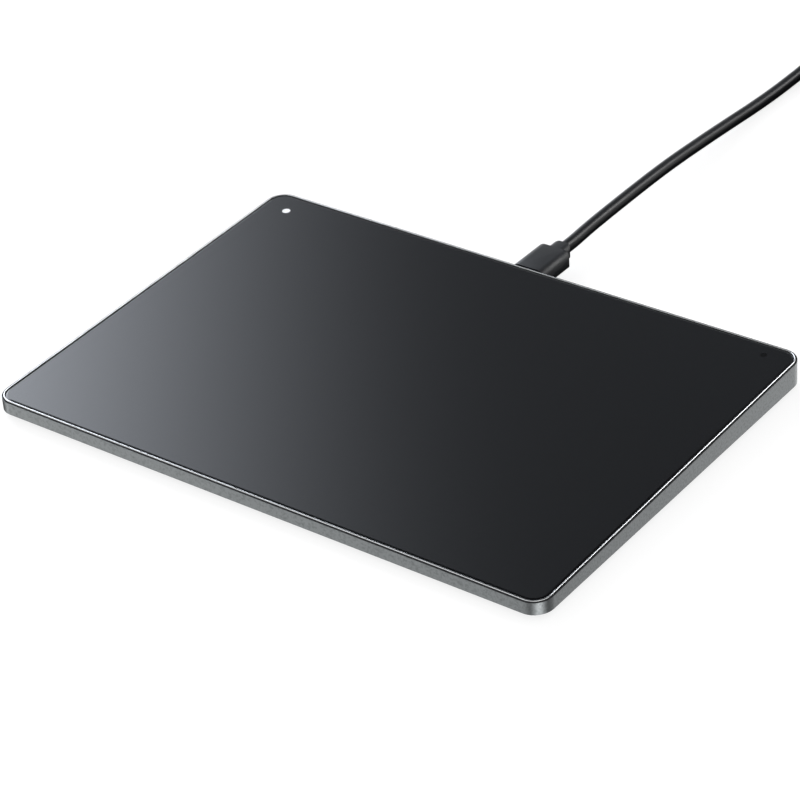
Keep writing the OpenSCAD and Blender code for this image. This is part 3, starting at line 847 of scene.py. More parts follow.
@dataclass
class Deck:
    """The tilted top of the body, and the places on it."""

    body_w: float = 159.5
    body_d: float = 111.5
    corner_r: float = 4.95
    front_h: float = 5.05
    tilt_deg: float = 1.55
    rim_w: float = 0.4
    rim_drop: float = 0.25
    ring_w: float = 0.35
    seat_gap: float = 0.02
    glass_gap: float = 0.1
    window_side: float = 7.5
    power_window_rear: float = 6.7

    @property
    def glass_w(self) -> float:
        """Width of the glass."""
        return self.body_w - 2 * (self.rim_w + self.ring_w + self.glass_gap)

    @property
    def glass_d(self) -> float:
        """Depth of the glass."""
        return self.body_d - 2 * (self.rim_w + self.ring_w + self.glass_gap)

    @property
    def height(self) -> float:
        """Height of the glass surface over the origin."""
        return self.front_h + self.glass_d / 2 * math.sin(math.radians(self.tilt_deg))

    def place(self) -> Matrix:
        """Gives the deck's place: z = 0 on the glass surface, in metres."""
        lift = Matrix.Translation((0.0, 0.0, self.height * MM))
        return lift @ Matrix.Rotation(math.radians(self.tilt_deg), 4, "X")

    def point(self, x: float, y: float, z: float = 0.0) -> Vector:
        """Gives a deck point in the part's frame, in millimetres."""
        return self.place() @ (Vector((x, y, z)) * MM) / MM

    def power_window(self) -> Point:
        """Gives the middle of the lit window."""
        x = self.window_side - self.glass_w / 2
        return tuple(self.point(x, self.glass_d / 2 - self.power_window_rear))


@dataclass
class EdgeRing:
    """A closed ring that follows the deck's outline: inset is counted from it, and top from the glass."""

    deck: Deck
    name: str
    inset: float
    width: float
    top: float
    height: float
    outer_round: float
    inner_round: float
    corner_steps: int = 20
    round_steps: int = 3
    sharp_deg: float = 40.0

    def model(self) -> bpy.types.Object:
        """Models the ring flat, as a plate that is rounded, hollowed and thickened.

        Returns:
            The ring, not yet on the deck.
        """
        deck = self.deck
        ring = add_plane(self.name, 1.0)
        ring.scale = ((deck.body_w - 2 * self.inset) * MM, (deck.body_d - 2 * self.inset) * MM, 1.0)
        ring.location = (0.0, 0.0, self.top * MM)
        settle_place(ring)
        with editing(ring, Pick.FACES):
            bpy.ops.mesh.select_all(action="SELECT")
            corner_r = (deck.corner_r - self.inset) * MM
            bpy.ops.mesh.bevel(offset=corner_r, segments=self.corner_steps, affect="VERTICES")
            bpy.ops.mesh.select_all(action="SELECT")
            bpy.ops.mesh.inset(thickness=self.width * MM, use_boundary=True)
            bpy.ops.mesh.delete(type="FACE")
        change(ring, "SOLIDIFY", thickness=self.height * MM, offset=-1.0)
        for depth, radius in ((self.inset, self.outer_round), (self.inset + self.width, self.inner_round)):
            round_edges(
                ring,
                lambda a, b, depth=depth: self.on_line(a, depth) and self.on_line(b, depth),
                radius,
                self.round_steps,
            )
        return ring

    def on_line(self, place: Vector, inset: float) -> bool:
        """Tells whether a point of the flat ring lies on its top, at an inset from the deck's outline.

        Args:
            place: the point.
            inset: the inset of the line.

        Returns:
            True where it does.
        """
        deck = self.deck
        reach = Vector((abs(place.x) - deck.body_w / 2, abs(place.y) - deck.body_d / 2))
        from_corner = [max(0.0, side + deck.corner_r) for side in reach]
        depth = deck.corner_r - math.hypot(*from_corner) if min(from_corner) > 0 else -max(reach)
        slack = 0.02
        return place.z > self.top - slack and abs(depth - inset) < slack

    def seat(self, ring: bpy.types.Object) -> None:
        """Tilts a finished ring onto the deck and shades it smooth between its edges.

        Args:
            ring: the ring, still flat.
        """
        ring.matrix_world = self.deck.place()
        settle_place(ring)
        shade(ring, self.sharp_deg)


class TrimRing(EdgeRing):
    """The bright ring round the glass, with its cut crown and its outer side painted near black as shade."""

    def __init__(self, deck: Deck) -> None:
        """Sizes the ring: it stands in the wall's rebate, a little proud of the glass.

        Args:
            deck: the deck that it follows.
        """
        super().__init__(
            deck,
            "trim_ring_cut",
            inset=deck.rim_w + deck.seat_gap,
            width=deck.ring_w - deck.seat_gap,
            top=0.1,
            height=0.8,
            outer_round=0.2,
            inner_round=0.11,
        )

    def build(self) -> bpy.types.Object:
        """Models the ring.

        Returns:
            The ring, in place of its CAD node.
        """
        ring = self.model()
        self.dress(ring)
        self.seat(ring)
        return hand_over(ring, Body.HOUSING, Slot.POLISHED_ALUMINIUM, nodes=["trim_ring"])

    def dress(self, ring: bpy.types.Object) -> None:
        """Cuts the crown bright, blasts the inner side like the wall, and paints the outer side near black as
        shade.

        Args:
            ring: the ring, still flat.
        """
        for finish in (CUT_ALUMINIUM, RING_SIDE_PAINTED_SHADE, BLASTED_ALUMINIUM):
            ring.data.materials.append(finish.material())
        side_limit = 0.1
        for face in ring.data.polygons:
            if face.normal.z < side_limit:
                faces_out = face.normal.x * face.center.x + face.normal.y * face.center.y > 0
                # Outward faces take the painted shade, inward faces the wall's blasted finish.
                face.material_index = 1 if faces_out else 2


class RimShadeStrip(EdgeRing):
    """A thin black strip on the wall's rim, outside the trim ring: painted shade that darkens the line
    between the wall and the ring.
    """

    def __init__(self, deck: Deck) -> None:
        """Sizes the strip of painted shade: it lies on the rim, just inside the wall's outer face.

        Args:
            deck: the deck that it follows.
        """
        outer = 0.05
        height = 0.1
        super().__init__(
            deck,
            "rim_painted_shade_strip",
            inset=outer,
            width=deck.rim_w - outer,
            top=height - deck.rim_drop,
            height=height,
            outer_round=0.05,
            inner_round=0.03,
        )

    def build(self) -> bpy.types.Object:
        """Models the strip of painted shade.

        Returns:
            The strip of painted shade.
        """
        shade_strip = self.model()
        self.seat(shade_strip)
        # Painted shade: the strip takes the feet's black rubber finish.
        return hand_over(shade_strip, Body.HOUSING, Slot.FOOT_RUBBER)


@dataclass
class DevicePlug:
    """The moulded plug at the trackpad's end of the lead.

    side_share is the rounding of the long edges as a share of the thickness, and lap is how far the neck
    reaches into the body. overcut and slack keep the faces of cutting shapes clear of the cut ones.
    """

    rear_y: float = 56.25
    axis_z: float = 5.3
    width: float = 10.5
    thickness: float = 5.2
    length: float = 11.75
    corner_r: float = 1.8
    neck_width: float = 6.0
    neck_thickness: float = 4.2
    neck_length: float = 4.0
    neck_corner_r: float = 2.2
    side_share: float = 0.48
    edge_break: float = 0.35
    edge_steps: int = 3
    round_steps: int = 8
    lap: float = 1.0
    overcut: float = 2.0
    slack: float = 0.01

    def bar(self, name: str, size: Point, start: float, corner_r: float) -> bpy.types.Object:
        """Models a bar of obround section with two round corners at its far end.

        Args:
            name: the object's name.
            size: its width, length and thickness.
            start: where it starts along Y.
            corner_r: the radius of the corners, seen from above.

        Returns:
            The bar.
        """
        width, length, thickness = size
        centre = (0.0, start + length / 2, self.axis_z)
        bar = add_block(name, size, centre)
        half_round = self.side_share * thickness
        round_edges(bar, lambda a, b: abs(a.y - b.y) > length / 2, half_round, self.round_steps)
        around = (width + 2 * self.slack, length, thickness + self.overcut)
        outline = add_block(name + "_outline", around, centre)
        far_y = start + length - self.slack
        round_edges(
            outline,
            lambda a, b: abs(a.z - b.z) > thickness / 2 and min(a.y, b.y) > far_y,
            corner_r,
            self.round_steps,
        )
        combine(bar, outline, "INTERSECT")
        return bar

    def build(self) -> bpy.types.Object:
        """Models the moulded body with its stepped neck.

        Returns:
            The moulding, in place of its CAD node.
        """
        body = self.bar(
            "plug_moulding", (self.width, self.length, self.thickness), self.rear_y, self.corner_r
        )
        neck_start = self.rear_y + self.length - self.lap
        neck = self.bar(
            "plug_neck",
            (self.neck_width, self.neck_length + self.lap, self.neck_thickness),
            neck_start,
            self.neck_corner_r,
        )
        combine(body, neck, "UNION")
        soften(body, self.edge_break, self.edge_steps)
        return hand_over(body, Body.LEAD, Slot.MOULDED_PLUG, nodes=["plug_body"])


@dataclass
class HostPlug:
    """The plug at the far end of the lead: its moulded body, ribbed relief and contacts.

    grip_ends is how much shorter than the plug's height its grip grooves are. groove_start is where the
    relief's first groove starts, as a share of the pitch, and flank_share is the share of a groove's width
    that each flank takes.
    """

    axis_x: float = 54.0
    axis_z: float = 4.0
    lead_y: float = 172.0
    relief_length: float = 10.0
    relief_small_r: float = 2.2
    relief_large_r: float = 3.25
    relief_break: float = 0.12
    relief_faces: int = 32
    relief_grooves: int = 4
    groove_depth: float = 0.45
    groove_start: float = 0.75
    flank_share: float = 0.1
    size: Point = (16.0, 22.0, 8.0)
    corner_r: float = 2.0
    corner_steps: int = 6
    edge_r: float = 1.2
    edge_steps: int = 5
    edge_break: float = 0.15
    sharp_deg: float = 40.0
    grip_grooves: int = 6
    grip_pitch: float = 1.8
    grip_r: float = 0.55
    grip_ends: float = 3.0
    contact: Point = (1.0, 8.0, 0.12)
    contact_count: int = 4
    contact_pitch: float = 2.2
    contact_break: float = 0.05

    @property
    def body_y(self) -> float:
        """Middle of the moulded body along Y."""
        return self.lead_y - self.relief_length - self.size[1] / 2

    def build(self) -> list[bpy.types.Object]:
        """Models the moulding, the relief and the contacts."""
        return [self.body(), self.relief(), self.contacts()]

    def body(self) -> bpy.types.Object:
        """Models the moulded body with grip grooves down both sides.

        Returns:
            The moulding, in place of its CAD node.
        """
        width, length, height = self.size
        centre = (self.axis_x, self.body_y, height / 2)
        body = add_block("host_plug_moulding", self.size, centre)
        round_edges(body, lambda a, b: abs(a.z - b.z) > height / 2, self.corner_r, self.corner_steps)
        flat = 0.01
        round_edges(
            body,
            lambda a, b: abs(a.z - b.z) < flat and (a.z < flat or a.z > height - flat),
            self.edge_r,
            self.edge_steps,
        )
        first = self.body_y - (self.grip_grooves - 1) / 2 * self.grip_pitch
        bar = self.grip_bar(self.axis_x - width / 2, first)
        for across in (0.0, width):
            for i in range(self.grip_grooves):
                combine(body, copied(bar, (across, i * self.grip_pitch, 0.0)), "DIFFERENCE")
        bpy.data.objects.remove(bar)
        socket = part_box("host_plug_shell")
        hollow = [(high - low) / MM for low, high in zip(*socket)]
        middle = [(low + high) / 2 / MM for low, high in zip(*socket)]
        combine(body, add_block("socket", tuple(hollow), tuple(middle)), "DIFFERENCE")
        soften(body, self.edge_break, sharp_deg=self.sharp_deg)
        return hand_over(body, Body.LEAD, Slot.MOULDED_PLUG, nodes=["host_plug_body"])

    def grip_bar(self, x: float, y: float) -> bpy.types.Object:
        """Models the round bar that cuts the grip grooves.

        Args:
            x: the side that it cuts.
            y: its place along the plug.

        Returns:
            The bar, upright, shorter than the plug so that the groove ends inside it.
        """
        rest()
        depth = self.size[2] - self.grip_ends
        bpy.ops.mesh.primitive_cylinder_add(
            vertices=16, radius=self.grip_r * MM, depth=depth * MM, location=Vector((x, y, self.axis_z)) * MM
        )
        bar = bpy.context.object
        settle_place(bar)
        return bar

    def relief(self) -> bpy.types.Object:
        """Turns the tapered relief, with grooves that let it bend.

        Returns:
            The relief, in place of its CAD node.
        """
        pitch = self.relief_length / (self.relief_grooves + 1)
        slope = (self.relief_large_r - self.relief_small_r) / self.relief_length
        profile = [(0.0, 0.0), (0.0, self.relief_small_r)]
        for i in range(self.relief_grooves):
            start = (i + self.groove_start) * pitch
            radius = self.relief_small_r + slope * start
            wide = pitch / 2
            flank = self.flank_share * wide
            profile += [
                (-start, radius),
                (-start - flank, radius - self.groove_depth),
                (-start - wide + flank, radius + slope * wide - self.groove_depth),
                (-start - wide, radius + slope * wide),
            ]
        profile += [(-self.relief_length, self.relief_large_r), (-self.relief_length, 0.0)]
        foot = (self.axis_x, self.lead_y, self.axis_z)
        relief = turned("host_plug_ribbed_relief", profile, foot, self.relief_faces)
        soften(relief, self.relief_break)
        return hand_over(relief, Body.LEAD, Slot.MOULDED_PLUG, nodes=["host_plug_relief"])

    def contacts(self) -> bpy.types.Object:
        """Models the gold strips on the tongue, as one piece.

        Returns:
            The contacts.
        """
        low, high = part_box("host_plug_tongue")
        thickness = self.contact[2]
        top = high.z / MM
        middle_y = (low.y + high.y) / 2 / MM
        first = self.axis_x - (self.contact_count - 1) / 2 * self.contact_pitch
        strip = add_block("host_plug_contact", self.contact, (first, middle_y, top + thickness / 2))
        round_edges(strip, lambda a, b: min(a.z, b.z) > top + thickness / 2, self.contact_break)
        shifts = [(i * self.contact_pitch, 0.0, 0.0) for i in range(1, self.contact_count)]
        strips = [strip, *(copied(strip, shift) for shift in shifts)]
        return hand_over(join(strips, "host_plug_contacts"), Body.LEAD, Slot.PLATED_STEEL, GOLD_CONTACT)


@dataclass
class Feet:
    """The four rubber feet, with a soft round edge on their soles.

    end_share is the rounding of a foot's ends as a share of its depth.
    """

    nodes: tuple[str, ...] = ("foot_front_left", "foot_front_right", "foot_rear_left", "foot_rear_right")
    sole_r: float = 0.35
    sole_steps: int = 3
    end_share: float = 0.485
    end_steps: int = 10
    slack: float = 0.001

    def build(self) -> list[bpy.types.Object]:
        """Models one foot, and copies it to the place of each other CAD node.

        Returns:
            The four feet.
        """
        corner, *others = (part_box(node)[0] for node in self.nodes)
        first = self.foot(self.nodes[0])
        feet = [first, *(copied(first, (other - corner) / MM) for other in others)]
        for foot, node in zip(feet, self.nodes):
            foot.name = node + "_pad"
            hand_over(foot, Body.HOUSING, Slot.FOOT_RUBBER, nodes=[node])
        return feet

    def foot(self, node: str) -> bpy.types.Object:
        """Models a foot at the place of its CAD node.

        Args:
            node: the CAD node's name.

        Returns:
            The foot.
        """
        low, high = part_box(node)
        size = (high - low) / MM
        centre = (low + high) / 2 / MM
        foot = add_block("foot", tuple(size), tuple(centre))
        round_edges(foot, lambda a, b: abs(a.z - b.z) > size.z / 2, self.end_share * size.y, self.end_steps)
        sole = low.z / MM + self.slack
        round_edges(foot, lambda a, b: max(a.z, b.z) < sole, self.sole_r, self.sole_steps)
        shade(foot)
        return foot


@dataclass
class PortContacts:
    """Gold contacts on the port's tongue, which show when the plug is out."""

    count: int = 8
    pitch: float = 0.7
    size: Point = (0.35, 3.4, 0.06)
    edge_break: float = 0.02
    mouth_gap: float = 0.4

    def build(self) -> bpy.types.Object:
        """Models both rows of contacts as one piece.

        Returns:
            The contacts.
        """
        low, high = (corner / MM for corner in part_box("port_tongue"))
        _, length, thickness = self.size
        y = high.y - self.mouth_gap - length / 2
        first = -(self.count - 1) / 2 * self.pitch
        strip = add_block("port_contact", self.size, (first, y, low.z - thickness / 2))
        round_edges(strip, lambda a, b: min(a.y, b.y) > y, self.edge_break)
        rows = (0.0, high.z - low.z + thickness)
        shifts = [(i * self.pitch, 0.0, rise) for rise in rows for i in range(self.count)]
        strips = [strip, *(copied(strip, shift) for shift in shifts[1:])]
        return hand_over(join(strips, "port_contacts"), Body.HOUSING, Slot.PLATED_STEEL, GOLD_CONTACT)


@dataclass
class CoilTie:
    """The strap round the coil, closed by a rounded tab.

    tab_sink is how deep the tab sits in the strap, tab_shift is how far along it the tab lies, and
    tab_narrower is how much narrower than the strap it is. overcut lets the hole pass through both sides.
    """

    width: float = 8.0
    thickness: float = 0.6
    bend_r: float = 1.2
    bend_steps: int = 6
    edge_break: float = 0.15
    tab_length: float = 10.0
    tab_thickness: float = 0.5
    tab_corner_r: float = 2.5
    tab_sink: float = 0.1
    tab_shift: float = 0.5
    tab_narrower: float = 0.4
    overcut: float = 1.0

    def build(self) -> bpy.types.Object:
        """Models the strap's loop and its tab.

        Returns:
            The strap, in place of its CAD node.
        """
        low, high = (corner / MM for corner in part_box("coil_tie"))
        size = high - low
        centre = (low + high) / 2
        loop = add_block("coil_strap", tuple(size), tuple(centre))
        along_x = size.x / 2
        outer_r = self.bend_r + self.thickness
        round_edges(loop, lambda a, b: abs(a.x - b.x) > along_x, outer_r, self.bend_steps)
        wall = 2 * self.thickness
        room = (size.x + 2 * self.overcut, size.y - wall, size.z - wall)
        hole = add_block("strap_hole", room, tuple(centre))
        round_edges(hole, lambda a, b: abs(a.x - b.x) > along_x, self.bend_r, self.bend_steps)
        combine(loop, hole, "DIFFERENCE")
        tab_size = (self.width - self.tab_narrower, self.tab_length, self.tab_thickness)
        tab_z = high.z + self.tab_thickness / 2 - self.tab_sink
        tab = add_block("strap_tab", tab_size, (centre.x, centre.y + self.tab_shift, tab_z))
        round_edges(
            tab,
            lambda a, b: abs(a.z - b.z) > self.tab_thickness / 2 and max(a.y, b.y) < centre.y,
            self.tab_corner_r,
            self.bend_steps,
        )
        combine(loop, tab, "UNION")
        soften(loop, self.edge_break)
        return hand_over(loop, Body.LEAD, Slot.TIE_STRAP, nodes=["coil_tie"])


@dataclass
class Lead:
    """The lead: straight out of the plug, down to the table, into a tied coil and on to the host plug.

    coil_turns counts the turns of one layer, and turn_points is how many points a turn has.
    """

    diameter: float = 3.4
    coil_r: float = 27.0
    coil_turns: int = 4
    coil_gap: float = 0.5
    coil_x: float = 27.0
    coil_y: float = 210.0
    coil_z: float = 2.4
    turn_points: int = 24
    length: float = 1200.0
    # The given points of the stretches that aren't coiled
    run: tuple[Point, ...] = (
        (0, 72, 5.3), (0, 76, 5.3), (-0.4, 84, 5.3), (-0.6, 92, 5.3), (-0.7, 100, 5.3), (-0.8, 108, 5.25),
        (-0.95, 118, 5.05), (-1.05, 128, 4.65), (-1.1, 138, 4.05), (-1.1, 148, 3.4), (-1, 158, 2.75),
        (-0.8, 168, 2.2), (-0.55, 178, 1.95), (-0.3, 188, 2.05), (-0.1, 196, 2.3), (0, 202, 2.4),
        (0, 206, 2.4),
    )
    tail: tuple[Point, ...] = (
        (54, 206, 6.3), (54, 202, 6.3), (54, 197, 6.05), (54, 192, 5.5), (54, 187, 4.85), (54, 182, 4.25),
        (54, 177, 4), (54, 172, 4),
    )

    def coil(self) -> list[Point]:
        """Winds the coil: in on the lower layer, up in the half turn where it reverses, out on the upper one.

        Returns:
            The coil's points.
        """
        pitch = self.diameter + self.coil_gap
        spin = 2 * self.coil_turns + 0.5
        points = []
        for i in range(int(spin * self.turn_points) + 1):
            turn = i / self.turn_points
            radius = self.coil_r - pitch * min(turn, spin - turn)
            angle = math.pi - math.tau * turn
            climb = min(1.0, max(0.0, 2 * (turn - self.coil_turns)))
            eased = climb * climb * (3 - 2 * climb)
            points.append(
                (
                    self.coil_x + radius * math.cos(angle),
                    self.coil_y + radius * math.sin(angle),
                    self.coil_z + pitch * eased,
                )
            )
        return points

    def build(self) -> bpy.types.Object:
        """Lays one smooth curve along the whole route.

        Returns:
            The lead, in place of its CAD nodes.
        """
        curve = bpy.data.curves.new("lead", "CURVE")
        curve.dimensions = "3D"
        curve.bevel_depth = self.diameter / 2 * MM
        curve.bevel_resolution = 6
        curve.resolution_u = 4
        curve.use_fill_caps = True
        points = [*self.run, *self.coil(), *self.tail]
        spline = curve.splines.new("BEZIER")
        spline.bezier_points.add(len(points) - 1)
        for knot, point in zip(spline.bezier_points, points):
            knot.co = Vector(point) * MM
            knot.handle_left_type = knot.handle_right_type = "AUTO"
        lead = bpy.data.objects.new("lead", curve)
        bpy.context.scene.collection.objects.link(lead)
        return hand_over(lead, Body.LEAD, Slot.LEAD_JACKET, nodes=["lead_run", "lead_coil", "lead_tail"])

    def declare(self) -> None:
        """Works out the lead's first point in metres, and keeps nothing.
        """
        tuple(x * MM for x in self.run[0])


def for_mirrors_only(thing: bpy.types.Object) -> None:
    """Hides a studio piece from all but mirrored rays."""
    thing.visible_camera = thing.visible_diffuse = thing.visible_shadow = thing.visible_transmission = False


def glowing(name: str) -> tuple[bpy.types.Material, bpy.types.Node]:
    """Makes a material that only glows.

    Args:
        name: the material's name.

    Returns:
        The material and its emission node.
    """
    material, tree = new_material(name)
    glow = add_node(tree, "Emission")
    tree.links.new(glow.outputs[0], tree.nodes["Material Output"].inputs["Surface"])
    return material, glow


def add_card(name: str, material: bpy.types.Material, place: Matrix) -> bpy.types.Object:
    """Adds a flat card.

    Args:
        name: the card's name.
        material: what it is made of.
        place: sizes, turns and moves a card one metre square.

    Returns:
        The card.
    """
    card = add_plane(name, 1.0)
    card.matrix_world = place
    card.data.materials.append(material)
    return card


def hang_card(name: str, level: float, place: Matrix) -> None:
    """Adds a flat card that only mirrored rays see.

    Args:
        name: the card's name.
        level: how brightly it glows, where 0 is black.
        place: sizes, turns and moves a card one metre square.
    """
    material, glow = glowing(name)
    glow.inputs["Strength"].default_value = level
    for_mirrors_only(add_card(name, material, place))


@dataclass(frozen=True)
class Card:
    """A flat card that only mirrored rays see.

    The angles are degrees: azimuth is counted from behind the trackpad towards its right.
    """

    name: str
    azimuth: float
    elevation: float
    half_width: float
    half_height: float
    level: float
    distance: float = 1500.0

    def build(self) -> None:
        """Hangs the card so that it faces the trackpad."""
        az, el = math.radians(self.azimuth), math.radians(self.elevation)
        away = Vector((math.sin(az) * math.cos(el), math.cos(az) * math.cos(el), math.sin(el)))
        across = Vector((math.cos(az), -math.sin(az), 0.0))
        halves = (self.half_width, self.half_height)
        wide, tall = (2 * self.distance * math.tan(math.radians(half)) for half in halves)
        turn = Matrix((across, away.cross(across), away)).transposed().to_4x4()
        size = Matrix.Diagonal((wide * MM, tall * MM, 1.0, 1.0))
        hang_card(self.name, self.level, Matrix.Translation(away * self.distance * MM) @ turn @ size)


@dataclass(frozen=True)
class Cove:
    """A round cove under the table, lit in soft bands, which upright faces mirror.

    bands gives the light's level by azimuth, in degrees from the front towards the right.
    """

    radius: float = 1500.0
    top: float = -250.0
    bottom: float = -1700.0
    bands: tuple[tuple[float, float], ...] = (
        (-170, 1.3), (-141, 1.0), (-100, 0.02), (-82, 0.2), (-60, 1.9), (-46, 0.95), (-30, 0.95), (-8, 0.7),
        (14, 0.1), (34, 1.2), (56, 3.4), (78, 0.8), (102, 0.05), (124, 0.45), (141, 0.73), (158, 1.4),
        (174, 1.3),
    )

    def build(self) -> None:
        """Stands the cove round the trackpad."""
        rest()
        bpy.ops.mesh.primitive_cylinder_add(
            vertices=96,
            radius=self.radius * MM,
            depth=(self.top - self.bottom) * MM,
            end_fill_type="NOTHING",
            location=(0.0, 0.0, (self.top + self.bottom) / 2 * MM),
        )
        cove = bpy.context.object
        cove.name = "banded_cove"
        cove.data.materials.append(self.material())
        for_mirrors_only(cove)

    def material(self) -> bpy.types.Material:
        """Blends the bands into each other round the cove.

        Returns:
            The cove's material.
        """
        material, glow = glowing("banded_cove")
        tree = material.node_tree
        place = add_node(tree, "TexCoord").outputs["Object"]
        split = add_node(tree, "SeparateXYZ", inputs={"Vector": place}).outputs
        front = add_node(tree, "Math", {"operation": "MULTIPLY"}, {0: split["Y"], 1: -1.0})
        angle = add_node(tree, "Math", {"operation": "ARCTAN2"}, {0: split["X"], 1: front.outputs[0]})
        share = add_node(
            tree, "MapRange", inputs={"Value": angle.outputs[0], "From Min": -math.pi, "From Max": math.pi}
        )
        ramp = add_node(tree, "ValToRGB", inputs={"Fac": share.outputs["Result"]})
        brightest = max(level for _, level in self.bands)
        stops = ramp.color_ramp.elements
        ramp.color_ramp.interpolation = "EASE"
        for azimuth, level in self.bands:
            stop = stops.new((azimuth + 180) / 360)
            stop.color = (level / brightest,) * 3 + (1.0,)
        stops.remove(stops[0])
        stops.remove(stops[-1])
        bright = add_node(tree, "Math", {"operation": "MULTIPLY"}, {0: ramp.outputs["Color"], 1: brightest})
        tree.links.new(bright.outputs[0], glow.inputs["Strength"])
        return material


@dataclass
class Studio:
    """The camera, the white floor and the lights.

    The eye is in millimetres and the angles are in degrees. The panel stands where the glass mirrors it. Its
    edges, its heights and the ends of its grading are angles from the mirrored line of sight, and panel_turn
    leans it about that line. Its light is panel_floor at the dark end and panel_level more at the bright one,
    rises by grade_power, and is capped at grade_cap of the way. table_flag holds two corners of a black card
    under the lead.
    """

    deck: Deck
    eye: Point = (370.952, -458.456, 381.869)
    azimuth: float = 38.9139
    elevation: float = 32.9527
    roll: float = -4.385
    lens_px: float = 2927.54
    frame_px: float = 800.0
    sensor: float = 36.0
    panel_distance: float = 1700.0
    panel_edges: tuple[float, float] = (-24.0, 34.0)
    panel_heights: tuple[float, float] = (-11.0, 16.5)
    panel_turn: float = 6.0
    grade_dark: float = 1.95
    grade_bright: float = -7.0
    grade_cap: float = 1.2
    grade_power: float = 2.2
    panel_level: float = 3.56
    panel_floor: float = 0.225
    panel_tone: str = "#eff5ff"
    floor_side: float = 8000.0
    floor_tone: str = "#989898"
    floor_lift: float = 0.8
    ambient: float = 0.75
    table_flag: tuple[Point, Point] = ((-10.0, 60.0, 0.1), (20.0, 215.0, 0.1))
    cards: tuple[Card, ...] = (
        Card("ceiling_flag", azimuth=42, elevation=90, half_width=44, half_height=44, level=0.0),
        Card("slope_flag", azimuth=-6, elevation=51, half_width=12, half_height=8, level=0.0, distance=800.0),
        Card("rear_right_flag", azimuth=58, elevation=7, half_width=18, half_height=18, level=0.0),
        Card("strip_light", azimuth=30, elevation=36, half_width=14, half_height=9, level=5.2),
    )

    def axes(self) -> tuple[Vector, Vector, Vector]:
        """Works out how the camera is turned.

        Returns:
            Its right, up and back directions.
        """
        az, el, roll = (math.radians(x) for x in (self.azimuth, self.elevation, self.roll))
        back = Vector((math.sin(az) * math.cos(el), -math.cos(az) * math.cos(el), math.sin(el)))
        level = Vector((0.0, 0.0, 1.0)).cross(back).normalized()
        upright = back.cross(level)
        right = math.cos(roll) * level + math.sin(roll) * upright
        up = math.cos(roll) * upright - math.sin(roll) * level
        return right, up, back

    def camera(self) -> None:
        """Sets up the photograph's view."""
        data = bpy.data.cameras.new("view")
        data.sensor_width = self.sensor
        data.lens = self.lens_px / self.frame_px * self.sensor
        data.clip_start, data.clip_end = 0.01, 100.0
        camera = bpy.data.objects.new("view", data)
        bpy.context.scene.collection.objects.link(camera)
        turn = Matrix(self.axes()).transposed().to_4x4()
        camera.matrix_world = Matrix.Translation(Vector(self.eye) * MM) @ turn
        bpy.context.scene.camera = camera

    def mirrored(self) -> tuple[Vector, Vector, Vector, Vector]:
        """Mirrors the camera in the glass.

        Returns:
            The mirrored eye in millimetres, and its right, up and forward directions.
        """
        normal = self.deck.place().to_3x3() @ Vector((0.0, 0.0, 1.0))
        on_glass = self.deck.point(0.0, 0.0)
        eye = Vector(self.eye)
        eye -= 2 * (eye - on_glass).dot(normal) * normal
        right, up, back = self.axes()
        right, up, forward = (v - 2 * v.dot(normal) * normal for v in (right, up, -back))
        return eye, right, up, forward

    def panel(self) -> None:
        """Stands the graded panel where the glass mirrors it: bright at its left and dark at its right."""
        eye, across, up, forward = self.mirrored()
        low, high = (self.panel_distance * math.tan(math.radians(a)) for a in self.panel_edges)
        foot, top = (self.panel_distance * math.tan(math.radians(a)) for a in self.panel_heights)
        turn = Matrix((across, up, forward)).transposed().to_4x4()
        turn @= Matrix.Rotation(math.radians(self.panel_turn), 4, "Z")
        middle = eye + turn.to_3x3() @ Vector(((low + high) / 2, (foot + top) / 2, self.panel_distance))
        material = self.panel_material((high - low) / self.panel_distance, low / self.panel_distance)
        size = Matrix.Diagonal(((high - low) * MM, (top - foot) * MM, 1.0, 1.0))
        panel = add_card("graded_panel", material, Matrix.Translation(middle * MM) @ turn @ size)
        panel.visible_camera = panel.visible_shadow = panel.visible_transmission = False

    def panel_material(self, span: float, start: float) -> bpy.types.Material:
        """Grades the panel's light from its dark side to its bright one.

        Args:
            span: the panel's width as a tangent of its angle.
            start: its left edge as a tangent.

        Returns:
            The panel's material.
        """
        material, glow = glowing("graded_cloth")
        glow.inputs["Color"].default_value = linear(self.panel_tone)
        tree = material.node_tree
        place = add_node(tree, "TexCoord").outputs["UV"]
        across = add_node(tree, "SeparateXYZ", inputs={"Vector": place}).outputs["X"]
        ends = (self.grade_dark, self.grade_bright)
        dark, bright = ((math.tan(math.radians(a)) - start) / span for a in ends)
        share = add_node(
            tree,
            "MapRange",
            {"clamp": False},
            {"Value": across, "From Min": dark, "From Max": bright},
        )
        level = share.outputs["Result"]
        steps = (
            ("MAXIMUM", 0.0),
            ("MINIMUM", self.grade_cap),
            ("POWER", self.grade_power),
            ("MULTIPLY", self.panel_level),
            ("ADD", self.panel_floor),
        )
        for operation, value in steps:
            level = add_node(tree, "Math", {"operation": operation}, {0: level, 1: value}).outputs[0]
        tree.links.new(level, glow.inputs["Strength"])
        return material

    def seen_directly(self, tree: bpy.types.NodeTree) -> bpy.types.NodeSocket:
        """Tells the rays from the camera, a mirror or glass apart from other rays.

        Args:
            tree: the nodes of the floor or the sky.

        Returns:
            A socket with 1 for such rays, and 0 for others.
        """
        path = add_node(tree, "LightPath").outputs
        direct = path["Is Camera Ray"]
        for kind in ("Is Glossy Ray", "Is Transmission Ray"):
            direct = add_node(tree, "Math", {"operation": "MAXIMUM"}, {0: direct, 1: path[kind]}).outputs[0]
        return direct

